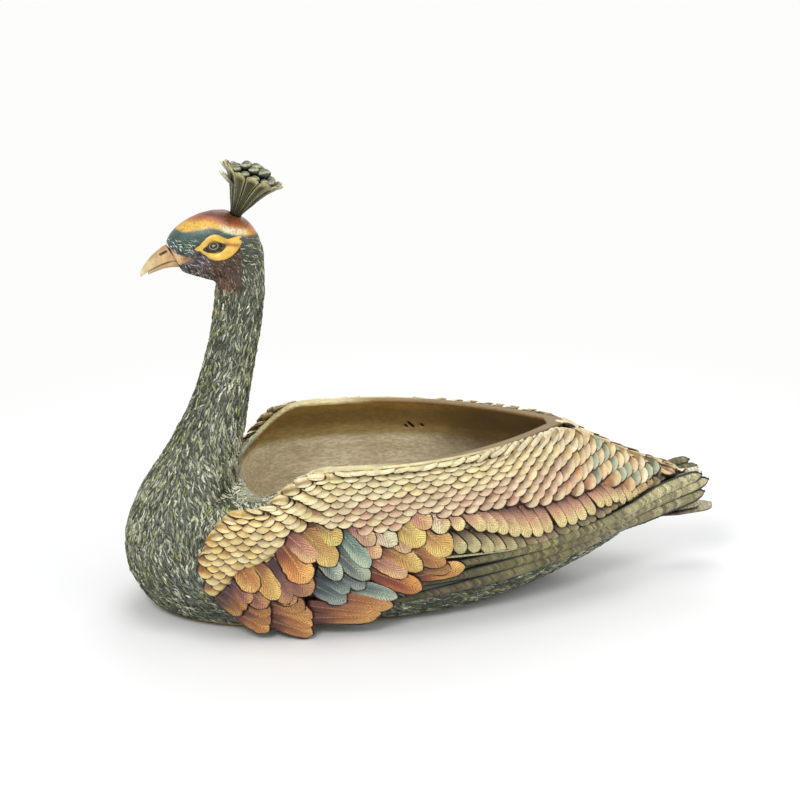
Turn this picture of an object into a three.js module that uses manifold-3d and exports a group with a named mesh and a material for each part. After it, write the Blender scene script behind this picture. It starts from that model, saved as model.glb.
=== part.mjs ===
// A peacock figure whose back is an open bowl. The bird faces -X, +Z is up, and one unit is 1 mm.
// The body, the neck with its head, the wings and the long feathers are castings, joined to each other.
import * as THREE from "three";
import { mergeVertices } from "three/addons/utils/BufferGeometryUtils.js";
import Module from "manifold-3d";

const wasm = await Module();
wasm.setup();

// Clearances between castings
const SEAT_GAP = 0.45;
const SHELL_GAP = 0.6; // between the flank and the feathers that lie on it
const WING_GAP = 1.5; // between the flank and the wing shells

// Body casting: the height of each waterline, where it starts and ends, its half beam, and how full its
// bow and its stern are
const RIM_HEIGHT = 116.5;
const WATERLINES = [
  { z: 0, bow: -176, stern: 74, beam: 54, fullness: 2.0, tail: 3.0 },
  { z: 6, bow: -184.5, stern: 97, beam: 62, fullness: 2.0, tail: 3.0 },
  { z: 14, bow: -190.5, stern: 119, beam: 67, fullness: 2.0, tail: 3.0 },
  { z: 24, bow: -196.5, stern: 139, beam: 71, fullness: 2.0, tail: 2.8 },
  { z: 36, bow: -199.8, stern: 157, beam: 74, fullness: 2.0, tail: 2.5 },
  { z: 48, bow: -200.3, stern: 169, beam: 75.5, fullness: 2.05, tail: 2.25 },
  { z: 60, bow: -198, stern: 181, beam: 76, fullness: 2.1, tail: 2.05 },
  { z: 70, bow: -193.5, stern: 178, beam: 75.5, fullness: 2.2, tail: 2.0 },
  { z: 80, bow: -187, stern: 158, beam: 74.5, fullness: 2.3, tail: 2.0 },
  { z: 91, bow: -174, stern: 137, beam: 73, fullness: 2.45, tail: 2.0 },
  { z: 104, bow: -152, stern: 116, beam: 70, fullness: 2.7, tail: 2.0 },
  { z: RIM_HEIGHT, bow: -127, stern: 101, beam: 67, fullness: 3.0, tail: 2.0 },
];
const WIDEST_AT = 0.38; // share of a waterline's length from its bow to its widest point
const SHOULDER_DIP = 26; // how far the rim falls beside the neck
const DIP_START_X = -72;
const DIP_END_X = -121;

// Bowl inside the body casting, and the lip that turns out from its rim over the wing shells
const WALL = 4;
const BOWL_FLOOR = 13;
const BOWL_FRONT_X = -119.5;
const BOWL_TAIL_WALL = 8;
const BOWL_REAR_LIMIT = 112;
const BOWL_FULLNESS = 3.4;
const LIP_THICKNESS = 2;
const LIP_REACH = 5.4;
const LIP_ROOM = 9; // how far the wing shells are cleared above the lip

// Neck: the front line, the back line and the half width at each height
const NECK_PROFILE = [
  { z: 20, front: -192, back: -130, half: 40 },
  { z: 48, front: -200.4, back: -128, half: 50 },
  { z: 62, front: -197.6, back: -126, half: 50 },
  { z: 77, front: -191.8, back: -124.5, half: 46 },
  { z: 91, front: -184.6, back: -122.5, half: 39 },
  { z: 104, front: -175.4, back: -120.8, half: 32 },
  { z: 118, front: -166.9, back: -118.4, half: 26.5 },
  { z: 132, front: -159.2, back: -116.2, half: 22.6 },
  { z: 145, front: -152.8, back: -114.4, half: 20 },
  { z: 159, front: -147.7, back: -111.8, half: 18.2 },
  { z: 173, front: -143.4, back: -109.4, half: 17 },
  { z: 186, front: -139.8, back: -106.8, half: 16.4 },
  { z: 200, front: -137.4, back: -104.4, half: 16.2 },
  { z: 214, front: -135.4, back: -102.8, half: 16.2 },
  { z: 232, front: -134, back: -101.7, half: 16.4 },
  { z: 244, front: -132, back: -103.2, half: 16 },
];
const NECK_START = 20; // lowest and highest level of the neck's own form
const NECK_END = 244;
const NECK_WALL = 5;
const NECK_BORE_TOP = 222;
const NECK_BORE_JOIN = 132; // below this the bore is round and straight-sided
const BORE_RADIUS = 16.5;
const BREAST_BORE_X = [-148, -157]; // middle of the bore at the base and at the widest of the breast
const SPIGOT_LENGTH = 11;
const SPIGOT_WALL = 3;
const SEAM_Z = 162;
const SEAM_X = -128;
const SEAM_TILT = THREE.MathUtils.degToRad(15.5);
const SEAM_MARGIN = 20; // how far each half is made past the seam before the seam cuts it

// Head: top line, bottom line and half width at each station, beak end first
const HEAD_PROFILE = [
  { x: -168, top: 251.5, bottom: 241.5, half: 5 },
  { x: -164, top: 258.5, bottom: 238, half: 8.3 },
  { x: -158, top: 264.8, bottom: 234.8, half: 11.4 },
  { x: -150, top: 269.8, bottom: 231.6, half: 14.2 },
  { x: -141, top: 273, bottom: 228.6, half: 16.4 },
  { x: -131, top: 274.3, bottom: 225.5, half: 17.4 },
  { x: -121, top: 272.4, bottom: 223, half: 17.2 },
  { x: -112, top: 266, bottom: 222, half: 15.2 },
  { x: -105.5, top: 256.5, bottom: 226, half: 11 },
  { x: -102.4, top: 246.5, bottom: 232, half: 5 },
];
const FACE_TOP = { x: -165.6, z: 253.6 };
const FACE_BOTTOM = { x: -156.6, z: 235 };

// Beak: the ridge line, the mouth line, the underside and the half width from the face to the tip
const BEAK_PROFILE = [
  { x: -157, ridge: 255.8, mouth: 243.2, under: 236, half: 7.4 },
  { x: -162, ridge: 254.6, mouth: 242.6, under: 236.4, half: 6.6 },
  { x: -168, ridge: 251.6, mouth: 240.9, under: 235.6, half: 5.2 },
  { x: -174, ridge: 247, mouth: 237.8, under: 233.6, half: 4 },
  { x: -179, ridge: 241.8, mouth: 234.4, under: 231.6, half: 2.9 },
  { x: -183, ridge: 235.4, mouth: 231.2, under: 230.4, half: 1.6 },
];
const LOWER_BEAK_END_X = -178;
const LOWER_BEAK_WIDTH = 0.86; // as a share of the upper beak's width at each station
const BEAK_ROOT = 6; // how far the beak is made behind its first station before the face cuts it

// Eyes and the raised patches round them
const EYE = { x: -136.2, z: 253.6, radius: 4.6, depth: 2.6 };
const PATCH_THICKNESS = 1.4;
const PATCH_START = 3; // a patch is cut from the side of the head past this distance from the middle line
const PATCH_OUTLINE = [
  [-150.5, 250.6],
  [-146, 254.4],
  [-141, 260.4],
  [-135, 263.4],
  [-129.5, 261],
  [-124, 258.4],
  [-116, 261],
  [-119.5, 254.6],
  [-125.5, 247.6],
  [-134, 245],
  [-142, 247.6],
  [-146, 251],
];

// Crest on the crown of the head
const CREST_X = -121;
const CREST_SINK = 1.9; // how far the middle of its base lies below the line of the crown
const CREST_TILT = THREE.MathUtils.degToRad(25);
const CREST_LENGTH = 27;
const CREST_STEM_RADIUS = 4.8;
const CREST_TOP_RADIUS = 20.6;
const CREST_PETALS = 13;
const CREST_FLUTE = 0.07;
const CREST_PLUG = 6;
const CREST_FAN_START = 2.5;
const BUD_DOME_RADIUS = 18;
const BUD_DOME_RISE = 7.5;
const BUD_RADIUS = 4.2;
const BUD_RINGS = [
  { count: 1, lean: 0 },
  { count: 6, lean: 0.42 },
  { count: 11, lean: 0.82 },
];

// Wing shells: their upper and lower edges along the body
const WING_THICKNESS = 3.6;
const WING_TOP = [
  [-155, 58],
  [-153, 69],
  [-147, 77],
  [-139, 83],
  [-128, 87],
  [-114, 91.5],
  [-104, 101.5],
  [-97, 109.5],
  [-86, 115.4],
  [-70, RIM_HEIGHT],
  [60, RIM_HEIGHT],
  [92, RIM_HEIGHT],
  [108, 111.5],
  [128, 101.5],
  [146, 92.5],
  [168, 83.5],
  [186, 76.5],
];
const WING_BOTTOM = [
  [-155, 52],
  [-152, 40],
  [-147.5, 32],
  [-143, 34],
  [-138, 42],
  [-132, 50],
  [-119, 56],
  [-103, 68],
  [-80, 74],
  [-45, 72],
  [-12, 68],
  [14, 53],
  [46, 51],
  [75, 51.5],
  [100, 55],
  [122, 59.5],
  [142, 65.5],
  [164, 70.5],
  [186, 74.5],
];
const WING_END_HEIGHT = 4; // least height of a wing shell at its two ends

// Fan of broad feathers below each wing: where each starts and ends on the flank. The upper tier laps the
// lower one
const FAN_FEATHERS = [
  { from: [-128, 37], to: [-133, 9.5], tier: 0 },
  { from: [-110, 43], to: [-112, 4.5], tier: 0 },
  { from: [-96, 42], to: [-93.5, 3.5], tier: 0 },
  { from: [-80, 42], to: [-71, 3.5], tier: 0 },
  { from: [-64, 43], to: [-49, 5.5], tier: 0 },
  { from: [-49, 42], to: [-29.5, 11], tier: 0 },
  { from: [-116, 52], to: [-107, 27], tier: 1 },
  { from: [-97, 66], to: [-82, 28], tier: 1 },
  { from: [-79, 69], to: [-57, 29], tier: 1 },
  { from: [-59, 68], to: [-29, 30], tier: 1 },
  { from: [-36.5, 65.8], to: [5, 34], tier: 1 },
];
const FAN_WIDTH = 20.4;
const FAN_THICKNESS = 2.6;
const FAN_SHINGLE = 4; // how far a feather's rear edge stands above its front edge
const FAN_GAP = 0.3; // between the flank and the roots of the fan
const FAN_LAYER = 5.1;
const FEATHER_ROOT = 0.5; // share of a feather's length over which it thickens from its root
const DRAPE_HEIGHT = 42; // below this the fan hangs straight down from the widest line

// Long tail feathers on each side, as points along the flank
const TAIL_FEATHERS = [
  {
    name: "upper",
    path: [[22, 45], [57, 45.8], [88, 47], [120, 52], [150, 60.6], [174, 68.6], [197, 77]],
  },
  {
    name: "middle",
    path: [[2, 34.5], [45, 36.6], [89, 38.2], [120, 43.6], [151, 52.8], [175, 61.2], [202, 70.6]],
  },
  {
    name: "lower",
    path: [[-20, 20], [31, 24.5], [90, 29.4], [122, 35], [152, 44.4], [176, 53], [200.5, 61]],
  },
];
const TAIL_WIDTH = 9.2;
const TAIL_THICKNESS = 2.6;
const TAIL_SHINGLE = 3.8; // how far a feather's lower edge stands above its upper edge
const TAIL_SPREAD = 11; // least half width that the tail feathers keep
const TAIL_BLEND = 6; // how softly they leave the flank for that width
// The middle feathers of the tail, as points along the middle line. The rise is from the middle to each edge
const KEEL_FEATHER = {
  path: [[143, 29.3], [151, 35], [160, 39], [172, 42.2], [188, 44.8], [211.5, 46.4]],
  width: 19,
  thickness: 3.2,
  rise: 1,
};
const TOP_FEATHER = { path: [[187, 73], [195, 73.6], [205, 76.4]], width: 20, thickness: 3, rise: -2 };
// Tongue of the body casting that carries the top feather: its half width, underside and top along the tail
const TAIL_TONGUE = [
  { x: 158, half: 6, low: 50, high: 66 },
  { x: 178, half: 8.5, low: 52, high: 68.8 },
  { x: 195, half: 8, low: 60, high: 69.2 },
];

// Base plate
const BASE_THICKNESS = 3;

// Larger carved feathers that stand out from the breast and the neck, in rows. The rows of the breast stop
// short of the wing and the fan, at the x that each height has
const CARVED_FEATHER = { length: 15, width: 7, height: 1.2, sink: 0.4, root: 2.6 };
const BREAST_ROWS = { first: 15, last: 148, apart: 16 };
const NECK_ROWS = { first: 178, last: 217, apart: 13 };
const BREAST_END = [
  { z: 0, x: -149 },
  { z: 28, x: -152 },
  { z: 38, x: -160 },
  { z: 58, x: -165 },
  { z: 72, x: -164 },
  { z: 82, x: -154 },
  { z: 92, x: -143 },
  { z: 104, x: -122 },
  { z: 116, x: -80 },
  { z: 170, x: -80 },
];
// The row along each side of the hull, below the tail feathers
const HULL_ROW = { z: 10.5, first: 2, last: 82, apart: 16 };

// Fineness of the surfaces
const HULL_STEPS = 24;
const BOWL_STEPS = 20;
const HULL_LEVELS = [0, 5, 11, 19, 29, 42, 56, 68, 78, 88, 98, 107, 112.5, RIM_HEIGHT];
const NECK_SIDES = 20;

// A smooth curve through table rows, as a function of one of their fields
function through(rows, key, value) {
  const xs = rows.map((row) => row[key]);
  const ys = rows.map((row) => row[value]);
  const slope = (i) => {
    const a = Math.max(i - 1, 0);
    const b = Math.min(i + 1, xs.length - 1);
    return (ys[b] - ys[a]) / (xs[b] - xs[a]);
  };
  return (x) => {
    let i = 0;
    while (i < xs.length - 2 && x > xs[i + 1]) i++;
    const h = xs[i + 1] - xs[i];
    const t = THREE.MathUtils.clamp((x - xs[i]) / h, 0, 1);
    const t2 = t * t;
    const t3 = t2 * t;
    return (
      (2 * t3 - 3 * t2 + 1) * ys[i] +
      (t3 - 2 * t2 + t) * h * slope(i) +
      (3 * t2 - 2 * t3) * ys[i + 1] +
      (t3 - t2) * h * slope(i + 1)
    );
  };
}

const bowAt = through(WATERLINES, "z", "bow");
const sternAt = through(WATERLINES, "z", "stern");
const beamAt = through(WATERLINES, "z", "beam");
const fullnessAt = through(WATERLINES, "z", "fullness");
const tailAt = through(WATERLINES, "z", "tail");
const neckFront = through(NECK_PROFILE, "z", "front");
const neckBack = through(NECK_PROFILE, "z", "back");
const neckHalf = through(NECK_PROFILE, "z", "half");
const crownAt = through(HEAD_PROFILE, "x", "top");

// Share of the half beam at a share u of a waterline's length: round at the bow, pointed at the stern
function leaf(u, fullness, tail) {
  if (u <= 0 || u >= 1) return 0;
  if (u < WIDEST_AT) return Math.pow(1 - Math.pow(1 - u / WIDEST_AT, fullness), 1 / fullness);
  const r = (u - WIDEST_AT) / (1 - WIDEST_AT);
  return 1 - Math.pow(r, tail);
}

function hullHalf(x, z) {
  const bow = bowAt(z);
  return beamAt(z) * leaf((x - bow) / (sternAt(z) - bow), fullnessAt(z), tailAt(z));
}

// The rim falls away beside the neck: how far a point at height z is lowered at x
function dipAt(x, z) {
  const t = THREE.MathUtils.smoothstep(-x, -DIP_START_X, -DIP_END_X);
  return SHOULDER_DIP * t * Math.pow(z / RIM_HEIGHT, 3);
}

// The casting's side at a visible height: undoes the dip, then reads the waterline
function flankHalf(x, z) {
  let level = z;
  for (let i = 0; i < 24; i++) level = z + dipAt(x, level);
  return hullHalf(x, Math.min(level, RIM_HEIGHT));
}

function geometryOf(points, faces) {
  const geometry = new THREE.BufferGeometry();
  geometry.setAttribute("position", new THREE.Float32BufferAttribute(points.flatMap((p) => p.toArray()), 3));
  geometry.setIndex(faces.flat());
  return geometry;
}

// A closed body through rings of equally many points, with flat or gently curved ends
function loft(rings) {
  const n = rings[0].length;
  const points = rings.flat();
  const faces = [];
  for (let r = 0; r < rings.length - 1; r++) {
    for (let i = 0; i < n; i++) {
      const a = r * n + i;
      const b = r * n + ((i + 1) % n);
      faces.push([a, b, b + n], [a, b + n, a + n]);
    }
  }
  const cap = (start, flip) => {
    for (let i = 0; i < n / 2 - 1; i++) {
      const a = start + i;
      const b = start + i + 1;
      const c = start + n - 1 - i;
      const d = start + n - 2 - i;
      faces.push(flip ? [a, c, b] : [a, b, c], flip ? [b, c, d] : [b, d, c]);
    }
  };
  cap(0, true);
  cap((rings.length - 1) * n, false);
  return solid(geometryOf(points, faces));
}

// A closed mesh as a manifold solid facing out
function solid(geometry) {
  const bare = geometry.clone();
  for (const name of Object.keys(bare.attributes)) if (name !== "position") bare.deleteAttribute(name);
  const merged = mergeVertices(bare, 1e-4);
  const vertProperties = merged.attributes.position.array;
  const make = (triVerts) => new wasm.Manifold(new wasm.Mesh({ numProp: 3, vertProperties, triVerts }));
  const triVerts = new Uint32Array(merged.index.array);
  const made = make(triVerts);
  if (made.volume() > 0) return made;
  for (let i = 0; i < triVerts.length; i += 3) {
    const second = triVerts[i + 1];
    triVerts[i + 1] = triVerts[i + 2];
    triVerts[i + 2] = second;
  }
  return make(triVerts);
}

function geometryFrom(manifold) {
  const mesh = manifold.getMesh();
  const geometry = new THREE.BufferGeometry();
  geometry.setAttribute("position", new THREE.BufferAttribute(new Float32Array(mesh.vertProperties), 3));
  geometry.setIndex(new THREE.BufferAttribute(new Uint32Array(mesh.triVerts), 1));
  const flat = geometry.toNonIndexed();
  flat.computeVertexNormals();
  return flat;
}

// Stations along a waterline, closer together round the bow
function bowSpacing(t) {
  return t * t * (1.6 - 0.6 * t);
}

// One closed outline from half widths: the +Y side from bow to stern, then the -Y side back
function outline(front, back, halfAt, zAt, steps) {
  const side = (sign) =>
    Array.from({ length: steps }, (_, i) => {
      const x = front + (back - front) * bowSpacing((i + 0.35) / (steps - 0.3));
      return new THREE.Vector3(x, sign * Math.max(halfAt(x), 0.3), zAt(x));
    });
  return [...side(1), ...side(-1).reverse()];
}

function bodyHull() {
  return loft(
    HULL_LEVELS.map((z) => {
      return outline(bowAt(z), sternAt(z), (x) => hullHalf(x, z), (x) => z - dipAt(x, z), HULL_STEPS);
    }),
  );
}

// The neck inset by a wall, between two heights
function neckSolid(inset, low, high, steps) {
  const rings = Array.from({ length: steps }, (_, i) => {
    const z = low + ((high - low) * i) / (steps - 1);
    const centre = (neckFront(z) + neckBack(z)) / 2;
    const reach = (neckBack(z) - neckFront(z)) / 2 - inset;
    const half = neckHalf(z) - inset;
    return Array.from({ length: NECK_SIDES }, (_, k) => {
      const a = ((k + 0.5) / NECK_SIDES) * 2 * Math.PI;
      return new THREE.Vector3(centre - reach * Math.cos(a), half * Math.sin(a), z);
    });
  });
  return loft(rings);
}

// The space inside the bowl, from above the rim down to its floor, which is round at the edge
function bowlSpace() {
  const depths = [-0.06, 0, 0.2, 0.4, 0.6, 0.75, 0.86, 0.93, 0.98, 1];
  const rings = depths.map((d) => {
    const z = RIM_HEIGHT - (RIM_HEIGHT - BOWL_FLOOR) * d;
    const level = Math.min(z, RIM_HEIGHT);
    const share = 0.2 + 0.8 * Math.pow(1 - Math.pow(Math.max(d, 0), 7), 1 / 2.4);
    const widest = BOWL_FRONT_X + (bowlBack(level) - BOWL_FRONT_X) * WIDEST_AT;
    const front = widest + (BOWL_FRONT_X - widest) * share;
    const back = widest + (bowlBack(level) - widest) * share;
    const half = (beamAt(level) - WALL) * share;
    const halfAt = (x) => half * leaf((x - front) / (back - front), BOWL_FULLNESS, 2);
    return outline(front, back, halfAt, () => z, BOWL_STEPS);
  });
  return loft(rings);
}

function bowlBack(level) {
  return Math.min(sternAt(level) - BOWL_TAIL_WALL, BOWL_REAR_LIMIT);
}

// The lip round the rim, or the room that it needs: wider by a gap and open above
function rimLip(gap, above) {
  const reach = LIP_REACH + gap;
  const front = bowAt(RIM_HEIGHT) - reach;
  const back = sternAt(RIM_HEIGHT) + reach;
  const half = beamAt(RIM_HEIGHT) + reach;
  const halfAt = (x) => half * leaf((x - front) / (back - front), fullnessAt(RIM_HEIGHT), tailAt(RIM_HEIGHT));
  const ring = (z) => outline(front, back, halfAt, (x) => z - dipAt(x, RIM_HEIGHT), HULL_STEPS);
  return loft([ring(RIM_HEIGHT - LIP_THICKNESS - gap), ring(RIM_HEIGHT + above)]);
}

// The bore that lightens the neck and the breast, open below
function neckBore() {
  const lower = [-1, 60, NECK_BORE_JOIN + 1].map((z) => {
    const centre = z > 60 ? (neckFront(z) + neckBack(z)) / 2 : BREAST_BORE_X[z < 0 ? 0 : 1];
    return Array.from({ length: NECK_SIDES }, (_, k) => {
      const a = ((k + 0.5) / NECK_SIDES) * 2 * Math.PI;
      return new THREE.Vector3(centre - BORE_RADIUS * Math.cos(a), BORE_RADIUS * Math.sin(a), z);
    });
  });
  return loft(lower).add(neckSolid(NECK_WALL, NECK_BORE_JOIN, SEAM_Z + SEAM_MARGIN, 4));
}

const seamNormal = new THREE.Vector3(Math.sin(SEAM_TILT), 0, Math.cos(SEAM_TILT));
const seamOffset = seamNormal.dot(new THREE.Vector3(SEAM_X, 0, SEAM_Z));
function aboveSeam(manifold, shift) {
  return manifold.trimByPlane(seamNormal.toArray(), seamOffset + shift);
}
function belowSeam(manifold, shift) {
  return manifold.trimByPlane(seamNormal.clone().negate().toArray(), -(seamOffset + shift));
}

function aboveHeight(manifold, z) {
  return manifold.trimByPlane([0, 0, 1], z);
}

function rod(radius, from, to, sides = 16) {
  const axis = new THREE.Vector3().subVectors(to, from);
  const geometry = new THREE.CylinderGeometry(radius, radius, axis.length(), sides);
  const up = new THREE.Vector3(0, 1, 0);
  geometry.applyQuaternion(new THREE.Quaternion().setFromUnitVectors(up, axis.normalize()));
  const middle = new THREE.Vector3().addVectors(from, to).multiplyScalar(0.5);
  geometry.translate(middle.x, middle.y, middle.z);
  return solid(geometry);
}

// A function that finds where a level ray from outside first meets a manifold, on its way to an aim
function surfaceOf(manifold) {
  const mesh = new THREE.Mesh(geometryFrom(manifold));
  return (aim, out) => {
    const ray = new THREE.Raycaster(aim.clone().addScaledVector(out, 400), out.clone().negate());
    return ray.intersectObject(mesh)[0].point;
  };
}

// A low pointed ridge on a surface. The place gives a point at a distance across, a distance up and a lift
function carvedFeather(place) {
  const { length, width, height, sink, root } = CARVED_FEATHER;
  const points = [
    place(0, length / 2, -sink),
    place(width / 2, 0, -sink),
    place(0, -length / 2, -sink),
    place(-width / 2, 0, -sink),
    place(0, -length / 8, height),
    place(0, 0, -root),
  ];
  return wasm.Manifold.hull(points.map((point) => point.toArray()));
}

// Rows of carved feathers round the middle of the neck, each row shifted by half against the one below it
function carvedRows(manifold, rows, endAt) {
  const surface = surfaceOf(manifold);
  const middleAt = (z) => (neckFront(z) + neckBack(z)) / 2;
  const outward = (turn) => new THREE.Vector3(-Math.cos(turn), Math.sin(turn), 0);
  const meet = (z, turn) => surface(new THREE.Vector3(middleAt(z), 0, z), outward(turn));
  const feathers = [];
  for (let row = 0, z = rows.first; z <= rows.last; row++, z += rows.apart) {
    const radiusAt = (turn) => Math.hypot(meet(z, turn).x - middleAt(z), meet(z, turn).y);
    let turn = row % 2 ? rows.apart / 2 / radiusAt(0) : 0;
    while (turn < Math.PI && meet(z, turn).x < endAt(z)) {
      const radius = radiusAt(turn);
      for (const side of turn ? [-1, 1] : [1]) {
        feathers.push(
          carvedFeather((across, up, lift) => {
            const aside = side * (turn + across / radius);
            return meet(z + up, aside).addScaledVector(outward(aside), lift);
          }),
        );
      }
      turn += rows.apart / radius;
    }
  }
  return feathers;
}

function carvedHullRow(manifold) {
  const surface = surfaceOf(manifold);
  const feathers = [];
  for (const side of [-1, 1]) {
    const out = new THREE.Vector3(0, side, 0);
    for (let x = HULL_ROW.first; x <= HULL_ROW.last; x += HULL_ROW.apart) {
      feathers.push(
        carvedFeather((across, up, lift) => {
          const aim = new THREE.Vector3(x - up, 0, HULL_ROW.z + across);
          return surface(aim, out).addScaledVector(out, lift);
        }),
      );
    }
  }
  return feathers;
}

function bodyCasting() {
  const neck = belowSeam(neckSolid(0, NECK_START, SEAM_Z + SEAM_MARGIN, 11), 0);
  const filled = bodyHull().add(neck).add(tailTongue()).add(rimLip(0, 0));
  const breast = carvedRows(filled, BREAST_ROWS, through(BREAST_END, "z", "x"));
  const carved = wasm.Manifold.union([filled, ...breast, ...carvedHullRow(filled)]);
  const vessel = carved.subtract(bowlSpace()).subtract(neckBore());
  return aboveHeight(vessel, BASE_THICKNESS + SEAT_GAP);
}

function tailTongue() {
  return loft(
    TAIL_TONGUE.map(({ x, half, low, high }) => [
      new THREE.Vector3(x, half, low + 3),
      new THREE.Vector3(x, half, high - 2),
      new THREE.Vector3(x, half * 0.6, high),
      new THREE.Vector3(x, -half * 0.6, high),
      new THREE.Vector3(x, -half, high - 2),
      new THREE.Vector3(x, -half, low + 3),
      new THREE.Vector3(x, -half * 0.5, low),
      new THREE.Vector3(x, half * 0.5, low),
    ]),
  );
}

function basePlate() {
  const edge = (z, inset) =>
    outline(bowAt(0) + inset, sternAt(0) - inset, (x) => hullHalf(x, 0) - inset, () => z, HULL_STEPS);
  return loft([edge(0, 1), edge(1, 0), edge(BASE_THICKNESS, 0)]);
}

// A point on the flank, lifted along the surface's own normal
function flankPoint(x, z, side, lift, halfAt) {
  const e = 0.6;
  const half = halfAt(x, z);
  const dx = (halfAt(x + e, z) - halfAt(x - e, z)) / (2 * e);
  const dz = (halfAt(x, z + e) - halfAt(x, z - e)) / (2 * e);
  const normal = new THREE.Vector3(-dx, 1, -dz).normalize();
  const y = Math.max(half + normal.y * lift, SEAT_GAP / 2);
  return new THREE.Vector3(x + normal.x * lift, side * y, z + normal.z * lift);
}

function wingShell(side) {
  const columns = 34;
  const rows = 8;
  const top = through(WING_TOP, 0, 1);
  const bottom = through(WING_BOTTOM, 0, 1);
  const start = WING_TOP[0][0];
  const end = WING_TOP[WING_TOP.length - 1][0];
  const rings = Array.from({ length: columns + 1 }, (_, i) => {
    const t = i / columns;
    const x = start + (end - start) * Math.pow(t, 1.45);
    const high = Math.min(top(x), RIM_HEIGHT - dipAt(x, RIM_HEIGHT)) - 0.2;
    const low = Math.min(bottom(x), high - WING_END_HEIGHT);
    const line = (lift) =>
      Array.from({ length: rows + 1 }, (_, k) => {
        const z = high + (low - high) * Math.pow(k / rows, 1.5);
        return flankPoint(x, z, side, lift, flankHalf);
      });
    return [...line(WING_GAP + WING_THICKNESS), ...line(WING_GAP).reverse()];
  });
  return loft(rings).subtract(rimLip(SEAT_GAP, LIP_ROOM));
}

// Where the fan hangs: on the flank, but straight down below the widest line
function drapedHalf(x, z) {
  return flankHalf(x, Math.max(z, DRAPE_HEIGHT));
}

// A leaf-shaped feather along a path of points, crowned on its outer face. The shingle raises one long edge,
// or the other when it is negative, so that the edge clears the next feather
function feather(path, width, thickness, shingle, widthAt, place) {
  const points = path.map(([x, z]) => new THREE.Vector3(x, z, 0));
  const curve = new THREE.CatmullRomCurve3(points, false, "centripetal");
  const steps = Math.max(8, Math.round(curve.getLength() / 14));
  const across = [-1, -0.4, 0.4, 1];
  const rings = Array.from({ length: steps + 1 }, (_, i) => {
    const t = i / steps;
    const middle = curve.getPointAt(t);
    const tangent = curve.getTangentAt(t);
    const half = (width / 2) * widthAt(t);
    const build = 0.35 + 0.65 * THREE.MathUtils.smoothstep(t, 0, FEATHER_ROOT);
    const tilt = (c) => (build * (Math.abs(shingle) + shingle * c * widthAt(t))) / 2;
    const at = (c, lift) =>
      place(middle.x - tangent.y * c * half, middle.y + tangent.x * c * half, lift + tilt(c));
    const crown = (c) => build * thickness * (0.35 + 0.65 * (1 - c * c));
    return [...across.map((c) => at(c, crown(c))), ...[...across].reverse().map((c) => at(c, 0))];
  });
  return loft(rings);
}

// Width of a broad feather along its length, as a share: widest at 0.62, then round to its tip
const broadLeaf = (t) => {
  const rise = 0.32 * Math.sin(Math.PI * Math.min(t / 0.62, 1) * 0.5);
  return 0.68 + rise - 0.72 * Math.pow(Math.max(t - 0.62, 0) / 0.38, 2.6);
};
// Width of a long feather: even for most of its length, with a round tip
const longBlade = (t) => Math.min(1, 0.45 + 2.2 * t) - 0.7 * Math.pow(Math.max(t - 0.9, 0) / 0.1, 2.4);

function fanFeather({ from, to, tier }, side) {
  const middle = [(from[0] + to[0]) / 2 - 3, (from[1] + to[1]) / 2 - 2];
  const liftAt = (z) => FAN_GAP + tier * FAN_LAYER * THREE.MathUtils.smoothstep(from[1] - z, 0, 16);
  return feather([from, middle, to], FAN_WIDTH, FAN_THICKNESS, FAN_SHINGLE, broadLeaf, (x, z, raise) =>
    flankPoint(x, z, side, liftAt(z) + raise, drapedHalf),
  );
}

function tailFeather({ path }, side) {
  const halfAt = (x, z) => {
    const flank = flankHalf(x, z);
    return (flank + TAIL_SPREAD + Math.hypot(flank - TAIL_SPREAD, TAIL_BLEND)) / 2;
  };
  return feather(path, TAIL_WIDTH, TAIL_THICKNESS, -TAIL_SHINGLE, longBlade, (x, z, raise) =>
    flankPoint(x, z, side, SHELL_GAP + raise, halfAt),
  );
}

// A feather that lies across the middle line, above or below the tail
function middleFeather({ path, width, thickness, rise }) {
  const points = path.map(([x, z]) => new THREE.Vector3(x, 0, z));
  const curve = new THREE.CatmullRomCurve3(points, false, "centripetal");
  const steps = Math.max(6, Math.round(curve.getLength() / 12));
  const across = [-1, -0.5, 0, 0.5, 1];
  const rings = Array.from({ length: steps + 1 }, (_, i) => {
    const t = i / steps;
    const middle = curve.getPointAt(t);
    const half = (width / 2) * longBlade(t);
    const face = (depth) =>
      across.map((c) => {
        const z = middle.z + rise * c * c - depth * (1 - 0.6 * c * c);
        return new THREE.Vector3(middle.x, c * half, z);
      });
    return [...face(0), ...face(thickness).reverse()];
  });
  return loft(rings);
}

function headSolid(grow) {
  const bottomAt = through(HEAD_PROFILE, "x", "bottom");
  const halfAt = through(HEAD_PROFILE, "x", "half");
  const first = HEAD_PROFILE[0].x;
  const last = HEAD_PROFILE[HEAD_PROFILE.length - 1].x;
  const steps = 12;
  const rings = Array.from({ length: steps + 1 }, (_, i) => {
    const x = first + ((last - first) * (1 - Math.cos((Math.PI * i) / steps))) / 2;
    const middle = (crownAt(x) + bottomAt(x)) / 2;
    const tall = (crownAt(x) - bottomAt(x)) / 2 + grow;
    const half = halfAt(x) + grow;
    return Array.from({ length: 20 }, (_, k) => {
      const a = ((k + 0.5) / 20) * 2 * Math.PI;
      const round = (v) => Math.sign(v) * Math.pow(Math.abs(v), 0.92);
      return new THREE.Vector3(x, half * round(Math.sin(a)), middle + tall * round(Math.cos(a)));
    });
  });
  return loft(rings);
}

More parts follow.
